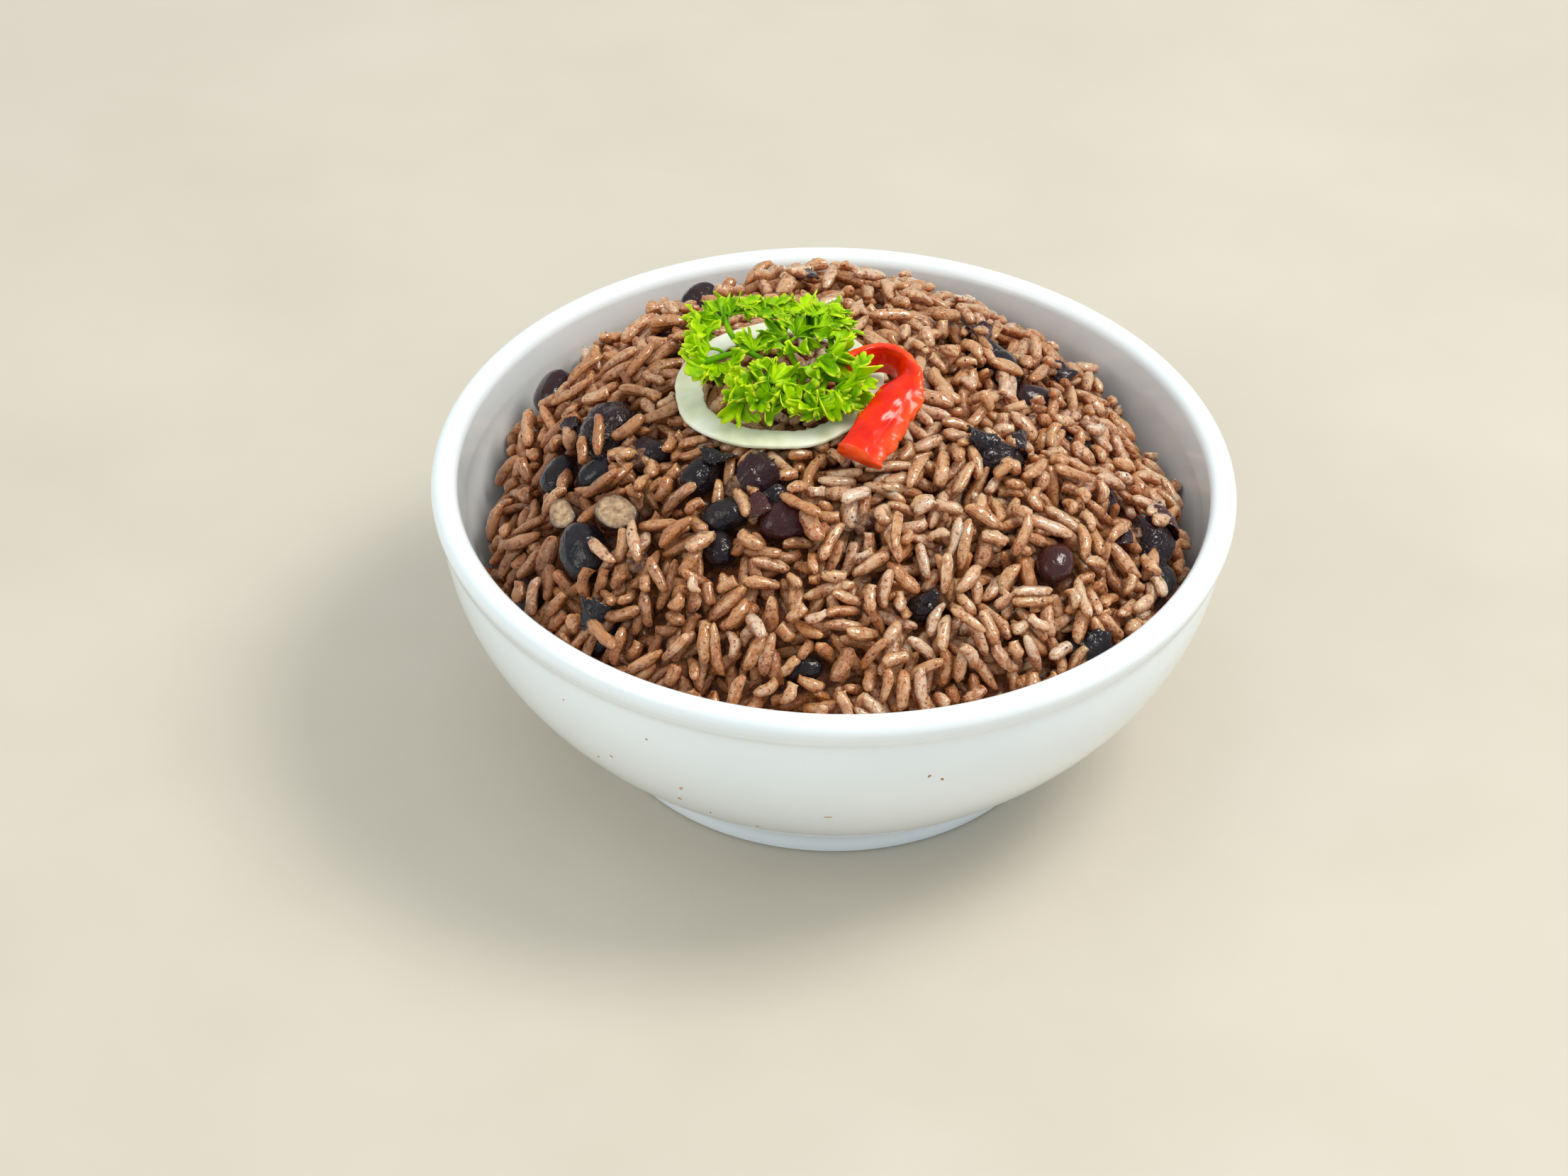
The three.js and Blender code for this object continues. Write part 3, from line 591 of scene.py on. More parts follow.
def pepper_material():
    # Raw red pepper: waxy, glossy scarlet skin outside, paler wet flesh at its cut sides.
    material, tree, shader, place = new_material("raw red pepper")
    cloud = add_node(tree, "ShaderNodeTexNoise", {
        "Vector": place, "Scale": per_mm(4), "Detail": 3.0, "Roughness": 0.55,
    })
    mottle = add_node(tree, "ShaderNodeMapRange", {"Value": cloud, "From Min": 0.35, "From Max": 0.65})
    skin = add_node(tree, "ShaderNodeValToRGB", {"Fac": mottle}, stops=[(0, "#d21600"), (1, "#ec2c00")])
    flesh = add_node(tree, "ShaderNodeValToRGB", {"Fac": mottle}, stops=[(0, "#f03a02"), (1, "#ff5a0c")])
    cut = add_node(tree, "ShaderNodeAttribute", attribute_name="cut").outputs["Fac"]
    base = add_node(tree, "ShaderNodeMix", {0: cut, 6: skin, 7: flesh}, data_type="RGBA")
    roughness = add_node(tree, "ShaderNodeMapRange", {"Value": cut, "To Min": 0.16, "To Max": 0.42})
    hollows = add_node(tree, "ShaderNodeTexNoise", {
        "Vector": place, "Scale": per_mm(4.2), "Detail": 0.8, "Roughness": 0.55, "Distortion": 0.5,
    })
    dents = add_node(tree, "ShaderNodeBump", {"Height": hollows, "Distance": 0.2 * MM})
    pores = add_node(tree, "ShaderNodeTexNoise", {
        "Vector": place, "Scale": per_mm(0.6), "Detail": 2, "Roughness": 0.55,
    })
    waxy = add_node(tree, "ShaderNodeBump", {"Height": pores, "Distance": 0.02 * MM, "Normal": dents})
    set_inputs(tree, shader, {
        "Base Color": base.outputs[2], "Roughness": roughness, "IOR": 1.44, "Specular IOR Level": 0.25,
        "Subsurface Weight": 0.18, "Subsurface Scale": 0.0015, "Subsurface Radius": (1.0, 0.12, 0.03),
        "Coat Weight": 0.65, "Coat Roughness": 0.2, "Normal": waxy, "Coat Normal": dents,
    })
    return material


# ---------------------------------------------------------------------------
# The bowl
# ---------------------------------------------------------------------------

BOWL = dict(
    radius=70.0, height=53.0, foot_radius=40.6, foot_inner_radius=36.8, foot_height=4.0, recess=2.2,
    floor=6.8, wall_top_radius=68.5, wall_top=47.5, wall_thickness=4.0, rim_thickness=4.7, rim_rise=2.4,
    columns=240,
)


def outer_wall(t):
    """The outer wall, as radius and height: t is 0 at the foot and 1 under the rim."""
    spread = BOWL["wall_top_radius"] - BOWL["foot_radius"]
    rise = BOWL["wall_top"] - BOWL["foot_height"]
    radius = BOWL["foot_radius"] + spread * (1 - (1 - t) ** 2)
    return np.stack([radius, BOWL["foot_height"] + rise * t], -1)


def inner_wall(t):
    """The inner wall, one wall thickness in from the outer one."""
    slope = 2 * (BOWL["wall_top_radius"] - BOWL["foot_radius"]) * (1 - t)
    rise = BOWL["wall_top"] - BOWL["foot_height"]
    inward = np.stack([np.full_like(t, -rise), slope], -1)
    inward /= np.linalg.norm(inward, axis=-1, keepdims=True)
    return outer_wall(t) + inward * BOWL["wall_thickness"]


# the bowl's inside as straight steps, as the solid has it
COARSE_INSIDE = np.array([
    (0, BOWL["floor"]), *inner_wall(np.linspace(0, 1, 7)),
    (BOWL["radius"] - BOWL["rim_thickness"], BOWL["height"] - BOWL["rim_rise"]),
])


def inside_radius(height):
    """The radius that is free inside the bowl at a height."""
    return np.interp(height, COARSE_INSIDE[1:, 1], COARSE_INSIDE[1:, 0])


def arc(centre, radii, start, stop, count):
    """Points on an ellipse from one angle to another, in degrees."""
    angles = np.radians(np.linspace(start, stop, count))
    return np.stack([centre[0] + radii[0] * np.cos(angles), centre[1] + radii[1] * np.sin(angles)], -1)


def bowl_profile():
    """The outline from the middle of the underside, round the rim, to the middle of the inside floor."""
    half = BOWL["rim_thickness"] / 2
    top = BOWL["height"] - BOWL["rim_rise"]
    under = [(0, BOWL["recess"]), (20, BOWL["recess"]), (33.5, 2.15)]
    foot = [
        (35.4, 1.9), (36.3, 1.0), (BOWL["foot_inner_radius"], 0.25), (37.3, 0.0),
        (38.4, 0.0), (39.6, 0.0), (40.2, 0.15), (BOWL["foot_radius"], 0.7),
    ]
    neck = [(BOWL["foot_radius"], 2.2), (40.62, 3.4)]
    wall = outer_wall(np.linspace(0.012, 0.97, 40))
    # a soft step, then a shallow band under the rounded rim
    step = [
        (68.56, 46.6), (68.72, 47.3), (69.02, 47.75), (69.3, 48.15),
        (69.42, 48.6), (69.62, 49.1), (69.85, 49.7),
    ]
    rim = arc((BOWL["radius"] - half, top), (half, BOWL["rim_rise"]), 0, 180, 22)
    inner = inner_wall(np.linspace(0.985, 0.0, 34))
    floor = [(34.0, 6.95), (22, 6.82), (0, BOWL["floor"])]
    return np.array([*under, *foot, *neck, *wall, *step, *rim, *inner, *floor])


def lathe(name, profile, columns):
    """A closed body turned from a profile whose first and last points lie on the axis."""
    angles = TURN * np.arange(columns) / columns
    turned = profile[1:-1]
    rings = np.stack([
        turned[:, None, 0] * np.cos(angles), turned[:, None, 0] * np.sin(angles),
        np.repeat(turned[:, None, 1], columns, 1),
    ], -1).reshape(-1, 3)
    points = np.vstack([rings, [(0, 0, profile[0, 1]), (0, 0, profile[-1, 1])]])
    return build_mesh(name, points, *tube_faces(len(turned), columns))


# crumbs that stick to the outside: bearing in degrees, height, length, width, turn in degrees
CRUMBS = [
    (247.2, 29.5, 1.7, 0.55, 70), (245.5, 24.0, 0.9, 0.7, 10), (270.0, 26.8, 1.3, 0.5, 5),
    (284.2, 39.0, 0.7, 0.5, 40), (286.2, 37.6, 0.8, 0.45, 130), (243.4, 41.7, 0.5, 0.35, 20),
    (235.7, 31.8, 0.6, 0.3, 150), (232.0, 28.5, 0.8, 0.4, 60), (229.0, 42.0, 0.3, 0.25, 0),
    (257.5, 17.0, 0.7, 0.4, 15), (250.0, 20.5, 0.5, 0.35, 80),
]
CRUMB_RISE = 0.14  # how far crumbs stand out from the wall


def crumbs_mesh():
    """Low uneven grits on the outer wall."""
    ball, triangles = ball_arrays(2)
    heights = np.linspace(0, 1, 400)
    wall = outer_wall(heights)
    grits = []
    for number, (bearing, height, length, width, turn) in enumerate(CRUMBS):
        t = np.interp(height, wall[:, 1], heights)
        radius = np.interp(height, wall[:, 1], wall[:, 0])
        slope = 2 * (BOWL["wall_top_radius"] - BOWL["foot_radius"]) * (1 - t)
        level = math.radians(bearing)
        out = np.array([math.cos(level), math.sin(level), 0])
        around = np.array([-math.sin(level), math.cos(level), 0])
        up = out * slope + np.array([0, 0, BOWL["wall_top"] - BOWL["foot_height"]])
        up /= np.linalg.norm(up)
        normal = np.cross(around, up)
        along = around * math.cos(math.radians(turn)) + up * math.sin(math.radians(turn))
        across = np.cross(normal, along)
        lumpy = ball * (1 + 0.3 * ripple(ball, 1.6, number)[:, None])
        middle = out * radius + np.array([0, 0, height])
        grits.append(
            middle + lumpy[:, :1] * along * length / 2 + lumpy[:, 1:2] * across * width / 2
            + lumpy[:, 2:] * normal * CRUMB_RISE,
        )
    return build_mesh("crumbs_on_bowl", np.vstack(grits), (), for_each(triangles, grits))


# ---------------------------------------------------------------------------
# The mound's outline
# ---------------------------------------------------------------------------

HEAP = dict(
    peak=17.0, power=2.6, lean=-3.0, sink=1.3, wall_gap=0.56, floor_gap=0.7,
    # where the mound meets the wall, above the rim, every 30 degrees from +X
    edge_levels=np.array([-12, -13, -7, -3, -7, -11, -16, -11, -7, -7, -7, -5.0]),
)


def edge_level(bearing):
    """The height at which the mound meets the wall, on a smooth curve through its levels."""
    levels = HEAP["edge_levels"]
    place = (bearing / TURN) % 1 * len(levels)
    i = np.floor(place).astype(int)
    t = place - i
    before, here, after, later = (levels[(i + k) % len(levels)] for k in (-1, 0, 1, 2))
    bend = 2 * before - 5 * here + 4 * after - later + t * (3 * (here - after) + later - before)
    return BOWL["height"] + here + 0.5 * t * (after - before + t * bend)


def mound_reach(bearing):
    """How far the mound reaches from the axis."""
    return inside_radius(edge_level(bearing) - HEAP["sink"]) - HEAP["wall_gap"]


def mound_point(share, bearing):
    """A point on the tops of the grains: share is 0 at the crown and 1 at the wall."""
    edge, reach = edge_level(bearing), mound_reach(bearing)
    crown = BOWL["height"] + HEAP["peak"]
    return np.stack([
        share * reach * np.cos(bearing) + HEAP["lean"] * (1 - share ** 2),
        share * reach * np.sin(bearing),
        edge + (crown - edge) * (1 - share ** HEAP["power"]),
    ], -1)


def mound_place(x, y, rounds=12):
    """The share and bearing of places seen from above; a share over 1 lies outside the mound."""
    share = np.zeros_like(x)
    for _ in range(rounds):
        dx = x - HEAP["lean"] * (1 - np.minimum(share, 1) ** 2)
        bearing = np.arctan2(y, dx)
        share = np.hypot(dx, y) / mound_reach(bearing)
    return share, bearing


def mound_height(x, y):
    share, bearing = mound_place(np.asarray(x, float), np.asarray(y, float))
    return mound_point(np.minimum(share, 1), bearing)[..., 2]


def mound_normal(x, y, step=0.5):
    normal = np.stack([
        mound_height(x - step, y) - mound_height(x + step, y),
        mound_height(x, y - step) - mound_height(x, y + step),
        np.full_like(np.asarray(x, float), 2 * step),
    ], -1)
    return normal / np.linalg.norm(normal, axis=-1, keepdims=True)


def resting_frame(x, y, turn):
    """Axes along, across and up for something that lies on the mound, as the columns of a matrix."""
    up = mound_normal(x, y)
    along = np.array([math.cos(turn), math.sin(turn), 0])
    along -= up * (along @ up)
    along /= np.linalg.norm(along)
    return np.stack([along, np.cross(up, along), up], 1)


def from_bearing(bearing, distance):
    """A place seen from above, from its bearing in degrees and its distance from the axis."""
    level = math.radians(bearing)
    return distance * math.cos(level), distance * math.sin(level)


# ---------------------------------------------------------------------------
# The heap: grains dropped one by one on a map of heights
# ---------------------------------------------------------------------------

CELL = 0.4  # of the map
MAP_HALF = 68.0
CLOSED = -1e3  # a ceiling so low that no grain fits under it
CORE_DEPTH = 8.0  # grains are dropped on a floor this far under the tops
MUSH_DEPTH = 6.0  # the mush between the grains reaches up to here
CORE_RIM_DEPTH = 5.2  # and up to here at the bowl's wall
TOPPING_REACH = 24.0  # grains lie low within this distance of the toppings' middle
TOPPING_MIDDLE = (-4.0, -1.0)
TOPPING_EASE = 6.0  # the heap's own bumps reach their full height this far outside it
TOPPING_DIP = -0.1  # and inside it the heap has this height over its outline
LID_CELLS = range(-4, 5)  # cells round a place that count for the level of its highest grains
HEAP_SWELLS = [(14.0, 1.2), (6.5, 1.0)]  # sizes and heights of the heap's own bumps

# local knolls and dips of the heap: x, y, radius, height
KNOLLS = [
    (-8, 50, 7, 1.8), (44, 33, 7, 1.4), (46, 40, 5, 3.4), (-24, 42, 5, 1.0), (-50, 20, 6, 0.8),
    (8, 40, 6, 1.2), (30, 34, 6, 0.8), (-57, -8, 6, 0.8), (18, -28, 7, 0.8), (-22, -44, 6, 0.8),
    (-52, 33, 4, 1.6), (-43, 41, 5, -2.6), (58, 22, 5, -1.6),
]

# kind: share of all grains, length, width, thickness as a share of the width, unevenness as
# a share of the girth, and how far the surface is frayed along the grain
RICE = dict(
    rice_long=dict(
        share=0.68, length=(6.2, 9.4), width=(2.0, 2.65), flat=(0.76, 0.96), uneven=0.11, frayed=0.1,
    ),
    rice_broken=dict(
        share=0.12, length=(3.2, 5.6), width=(1.9, 2.5), flat=(0.8, 1.0), uneven=0.11, frayed=0.1,
    ),
    rice_burst=dict(
        share=0.20, length=(4.8, 8.4), width=(2.3, 3.2), flat=(0.62, 0.86), uneven=0.17, frayed=0.22,
    ),
)
# passes that fill the heap: grains at most, how far below its top they stay, how far
# they may stand above that, the room that a place must have, and how freely places are chosen
PASSES = [
    dict(count=1200, below=4.8, loose=0.5, gap=1.8, freedom=0.4),
    dict(count=1500, below=2.9, loose=0.6, gap=1.8, freedom=0.8),
    dict(count=1700, below=1.7, loose=0.6, gap=1.6, freedom=0.9),
    dict(count=1500, below=0.1, loose=0.9, gap=1.7, freedom=1.6),
    dict(count=1200, below=-0.3, loose=0.8, gap=1.5, freedom=1.6, kinds=("rice_broken", "rice_burst")),
    # grains that lie across those below, anywhere
    dict(count=300, below=-1.3, loose=1.0, gap=0.3, freedom=6.0),
]
STEEP_PASS = 1  # steep grains are set after this pass
# where broth has gathered between the grains: x, y, radius, strength
SOAKED = [
    (-46, -4, 15, 0.26), (-50, -26, 10, 0.16), (-22, -20, 9, 0.30), (-12, -34, 7, 0.16),
    (-34, -42, 8, 0.18), (-30, 18, 9, 0.20), (44, -18, 8, 0.14), (24, 30, 9, 0.22), (38, 24, 7, 0.14),
    (-24, -50, 8, 0.14), (4, -50, 6, 0.10), (0, 40, 8, 0.10),
    # drier and paler places
    (8, -24, 9, -0.07), (21, -32, 9, -0.08), (33, -20, 8, -0.03), (15, -50, 8, -0.07), (33, -45, 9, -0.06),
]
STEEPEST = 1.5  # slope at which a dropped grain still lies
FEWEST_PLACES = 30  # a pass ends when fewer cells than this are open
TRIES = 32  # places tried for each grain
LOOK_EVERY = 6  # the open places are looked up again after so many bundles
# grains that stick together side by side: how many at most, places tried for each, how far
# askew in radians, how far apart in widths, how far ahead, and how much higher they may stand
BUNDLE = dict(most=4, tries=6, askew=0.2, apart=(0.78, 1.1), ahead=1.6, higher=0.3)
ALONG = np.linspace(-0.46, 0.46, 9)  # places along a grain where it may touch what lies below
ACROSS = np.array([-0.36, 0.0, 0.36])
# grains that stand steeply: how many, places tried for each, how far from the axis, how far
# apart, degrees from level, and the height of their ends over the heap's top
STEEP = dict(count=120, tries=30, reach=62, apart=4.5, degrees=(32, 76), rise=(-0.5, 0.4))


class Heap:
    """The tops of what lies in the bowl so far, and the levels that grains may reach."""

    def __init__(self):
        axis = np.arange(-MAP_HALF, MAP_HALF + CELL, CELL)
        self.x, self.y = np.meshgrid(axis, axis, indexing="ij")
        share, _ = mound_place(self.x, self.y)
        tops = mound_height(self.x, self.y)
        flat = np.stack([self.x, self.y], -1)
        swell = sum(high * ripple(flat, wide, SEED + int(wide)) for wide, high in HEAP_SWELLS)
        for x, y, radius, height in KNOLLS:
            swell += height * np.exp(-((self.x - x) ** 2 + (self.y - y) ** 2) / radius ** 2)
        away = np.hypot(self.x - TOPPING_MIDDLE[0], self.y - TOPPING_MIDDLE[1]) - TOPPING_REACH
        swell = np.where(away < 0, TOPPING_DIP, swell * np.clip(away / TOPPING_EASE, 0, 1))
        self.top = tops - CORE_DEPTH
        self.ceiling = np.where(share < 1.02, tops + swell, CLOSED)

    def cells(self, x, y):
        """The row and column of the map's cells at places in mm."""
        limit = len(self.x) - 1
        row = np.clip(np.rint((x + MAP_HALF) / CELL).astype(int), 0, limit)
        column = np.clip(np.rint((y + MAP_HALF) / CELL).astype(int), 0, limit)
        return row, column

    def stamp(self, points):
        """What has these surface points now lies in the heap."""
        np.maximum.at(self.top, self.cells(points[:, 0], points[:, 1]), points[:, 2])

    def keep_free(self, x, y, radius):
        """Grains don't lie over this place."""
        self.ceiling[np.hypot(self.x - x, self.y - y) < radius] = CLOSED

    def open_places(self, gap):
        """Places where something as thick as the gap still fits."""
        chosen = self.ceiling - self.top > gap
        return np.stack([self.x[chosen], self.y[chosen]], -1)

    def lid(self):
        """The level of the highest grains near each place, smoothed."""
        steps = [(i, j) for i in LID_CELLS for j in LID_CELLS]
        wide = np.max([np.roll(self.top, step, (0, 1)) for step in steps], 0)
        return np.mean([np.roll(wide, step, (0, 1)) for step in steps], 0)

    def lie(self, x, y, heading, length, width):
        """How grains dropped at places come to rest: the middle's height and the axis's slope."""
        s = ALONG[None, :] * length
        t = ACROSS[None, :] * width
        c, n = np.cos(heading)[:, None, None], np.sin(heading)[:, None, None]
        place_x = x[:, None, None] + s[:, :, None] * c - t[:, None, :] * n
        place_y = y[:, None, None] + s[:, :, None] * n + t[:, None, :] * c
        under = np.sqrt((width / 2) ** 2 - t ** 2)
        need = (self.top[self.cells(place_x, place_y)] + 0.75 * under[:, None, :]).max(2)
        # the grain rests on one place left of its middle and one right of it
        half = len(ALONG) // 2
        left, right = slice(0, half), slice(half + 1, len(ALONG))
        span = s[:, None, right] - s[:, left, None]
        middle = (need[:, left, None] * s[:, None, right] - need[:, None, right] * s[:, left, None]) / span
        slope = (need[:, None, right] - need[:, left, None]) / span
        rows = np.arange(len(x))
        best = middle.reshape(len(x), -1).argmax(1)
        height = np.maximum(middle.reshape(len(x), -1)[rows, best], need[:, half])
        return height, slope.reshape(len(x), -1)[rows, best]

    def room(self, grain, x, y, heading, height, slope, below):
        """The room over a grain at each place, along its length, and whether the bowl's wall is clear."""
        s = 1.09 * ALONG[None, :] * grain["length"] / np.sqrt(1 + slope[:, None] ** 2)
        place_x = x[:, None] + s * np.cos(heading)[:, None]
        place_y = y[:, None] + s * np.sin(heading)[:, None]
        level = height[:, None] + slope[:, None] * s
        room = self.ceiling[self.cells(place_x, place_y)] - below - level - grain["width"] / 2
        free = (np.hypot(place_x, place_y) + grain["width"] * 0.4 < inside_radius(level) - 0.15).all(1)
        return room, free


def rolled(across, up, angle):
    """Turns two axes about the third."""
    c, s = math.cos(angle), math.sin(angle)
    return across * c + up * s, up * c - across * s


def grain_axes(grain):
    """Unit vectors along a grain, across it and up from it."""
    tilt = math.atan(grain["slope"])
    heading = grain["heading"]
    along = np.array([
        math.cos(heading) * math.cos(tilt), math.sin(heading) * math.cos(tilt), math.sin(tilt),
    ])
    across = np.array([-math.sin(heading), math.cos(heading), 0])
    return along, *rolled(across, np.cross(along, across), grain["roll"])


def grain_surface(grain):
    """Points all over a grain, close enough together for the map of heights."""
    s = np.linspace(-1, 1, 25)[:, None]
    angles = np.linspace(0, TURN, 14, endpoint=False)
    girth = np.sqrt(np.maximum(1 - np.abs(s) ** 2.6, 0)) * grain["width"] / 2
    along, across, up = grain_axes(grain)
    ring = np.cos(angles)[:, None] * across + np.sin(angles)[:, None] * up * grain["flat"]
    points = grain["middle"] + s[:, :, None] * along * grain["length"] / 2 + girth[:, :, None] * ring
    return points.reshape(-1, 3)


def inside_bowl(points, margin=0.2):
    return (np.hypot(points[:, 0], points[:, 1]) < inside_radius(points[:, 2]) - margin).all()


def new_grain(kind, source, **given):
    """A grain of a kind with a size of its own, and with any values that are given."""
    sizes = RICE[kind]
    grain = dict(kind=kind, roll=source.uniform(-0.5, 0.5), slope=0.0)
    grain.update({key: source.uniform(*sizes[key]) for key in ("length", "width", "flat")})
    grain.update(given)
    return grain


def settle(heap, grain, x, y, heading, below, loose, wish=0.0):
    """Lets a grain come to rest at the best of several places, or nowhere if none is free."""
    height, slope = heap.lie(x, y, heading, grain["length"], grain["width"])
    room, free = heap.room(grain, x, y, heading, height, slope, below)
    fits = (room.min(1) > -loose) & free & (np.abs(slope) < STEEPEST)
    best = np.where(fits, room.mean(1) + wish, CLOSED).argmax()
    if not fits[best]:
        return False
    middle = np.array([x[best], y[best], height[best]])
    grain.update(middle=middle, heading=heading[best], slope=slope[best])
    heap.stamp(grain_surface(grain))
    return True


def places_beside(leader, number, side, source):
    """Places and headings beside a grain, a little askew and further along."""
    heading = leader["heading"] + source.normal(0, BUNDLE["askew"], BUNDLE["tries"])
    beside = side * number * leader["width"] * source.uniform(*BUNDLE["apart"], BUNDLE["tries"])
    ahead = source.normal(0, BUNDLE["ahead"], BUNDLE["tries"])
    c, s = math.cos(leader["heading"]), math.sin(leader["heading"])
    x = leader["middle"][0] - beside * s + ahead * c
    y = leader["middle"][1] + beside * c + ahead * s
    return x, y, heading


def drop_grains(heap, source, count, below, loose, gap, freedom, kinds=tuple(RICE)):
    """Drops grains in small bundles, each at one of the better open places, until the heap is full."""
    grains = []
    shares = np.array([RICE[kind]["share"] for kind in kinds])
    shares /= shares.sum()
    for step in range(count):
        if step % LOOK_EVERY == 0:
            places = heap.open_places(below + gap)
            if len(places) < FEWEST_PLACES or len(grains) >= count:
                break
        leader = new_grain(kinds[source.choice(len(kinds), p=shares)], source)
        x, y = places[source.integers(len(places), size=TRIES)].T + source.normal(0, 0.8, (2, TRIES))
        heading = source.uniform(0, math.pi, TRIES)
        if not settle(heap, leader, x, y, heading, below, loose, freedom * source.normal(size=TRIES)):
            continue
        grains.append(leader)
        side = source.choice((-1, 1))
        for number in range(1, source.integers(1, BUNDLE["most"] + 1)):
            grain = new_grain(kinds[source.choice(len(kinds), p=shares)], source)
            places_and_headings = places_beside(leader, number, side, source)
            if settle(heap, grain, *places_and_headings, below, loose + BUNDLE["higher"]):
                grains.append(grain)
    return grains


def stand_grains(heap, source):
    """Grains that stand steeply in the heap, so that their ends show."""
    grains = []
    for _ in range(STEEP["count"] * STEEP["tries"]):
        distance, bearing = STEEP["reach"] * math.sqrt(source.random()), source.uniform(0, TURN)
        x, y = distance * math.cos(bearing), distance * math.sin(bearing)
        ceiling = heap.ceiling[heap.cells(np.array([x]), np.array([y]))][0]
        toppings = math.hypot(x - TOPPING_MIDDLE[0], y - TOPPING_MIDDLE[1]) < TOPPING_REACH
        crowded = any(math.hypot(x - g["end"][0], y - g["end"][1]) < STEEP["apart"] for g in grains)
        if ceiling < 0 or toppings or crowded:
            continue
        grain = new_grain("rice_long", source, heading=source.uniform(0, TURN))
        grain["slope"] = math.tan(math.radians(source.uniform(*STEEP["degrees"])))
        along = grain_axes(grain)[0]
        grain["end"] = np.array([x, y, ceiling + source.uniform(*STEEP["rise"])])
        grain["middle"] = grain["end"] - along * grain["length"] / 2
        surface = grain_surface(grain)
        if not inside_bowl(surface):
            continue
        heap.stamp(surface)
        grains.append(grain)
        if len(grains) == STEEP["count"]:
            break
    return grains


def lay_grain(heap, source, kind, x, y, heading, length):
    """One grain at a chosen place, as it comes to rest there."""
    grain = new_grain(kind, source, heading=math.radians(heading), length=length)
    place = (np.array([v]) for v in (x, y, grain["heading"]))
    height, slope = heap.lie(*place, grain["length"], grain["width"])
    grain.update(middle=np.array([x, y, height[0]]), slope=slope[0])
    heap.stamp(grain_surface(grain))
    return grain


GRAIN_ROWS = np.array([-0.94, -0.74, -0.38, 0.0, 0.38, 0.74, 0.94])
GRAIN_SIDES = 8
# where the points of a grain lie along it: its rings, then its two ends
GRAIN_PLACES = np.concatenate([np.repeat(GRAIN_ROWS, GRAIN_SIDES), [-1, 1]])
PATTERN_SHIFT = 900  # each grain shows another part of the groove pattern, up to this many mm away

# the shape of a grain; a pair is the lowest and highest value that a grain may have
GRAIN = dict(
    # powers by which its ends close, and the share of ends that come to a point
    pointed=(1.8, 2.4), blunt=(2.4, 4.4), pointed_share=0.35, fullness=(0.38, 0.52),
    # what a chopped end keeps of its girth and length
    chopped_girth=(0.6, 1.0), chopped_length=(0.84, 1.0),
    # unevenness of the girth as shares of it, round the grain and along it
    four_sided=(-0.10, 0.10), oval=(0.02, 0.12), three_sided=(0.0, 0.09), waisted=(0.0, 0.10),
    # where a burst grain has split, in radians round it, and how much girth it keeps there
    split=(0.8, 2.2), split_girth=0.6,
    # how far it bows and sways, in mm
    bow_across=(-0.7, 0.7), bow_up=(-0.25, 0.35), sway=0.14, tip_shift=0.15,
)

# numbers for the rice material, each worked out for every point of every grain
RICE_LOOK = dict(
    # from browner (0) to paler (1): its middle and spread, and how clumps, broth and x in mm shift it, the
    # last as painted shade that darkens the heap's left, away from the key light
    tone=0.52, tone_spread=0.17, tone_by_clumps=0.18, tone_by_broth=0.7, painted_shade_by_x=0.0022,
    # mm under the highest grains at which depth starts, and over which it grows to 1
    depth_start=0.4, depth_range=2.6,
    # dried broth on every grain and more at its ends, with painted shade added to it on the grain's
    # underside and when it lies deep
    film=0.05, painted_shade_under=0.29, painted_shade_deep=0.25, film_ends=0.22, film_by_clumps=0.08,
    # dark broth, which grows with depth as painted shade on deeper grains, and the part of it that stains
    # the highest grains too
    broth=2.6, broth_on_top=0.15,
    # specks lie only on points less than this far under the highest grains
    shown_depth=1.2,
)


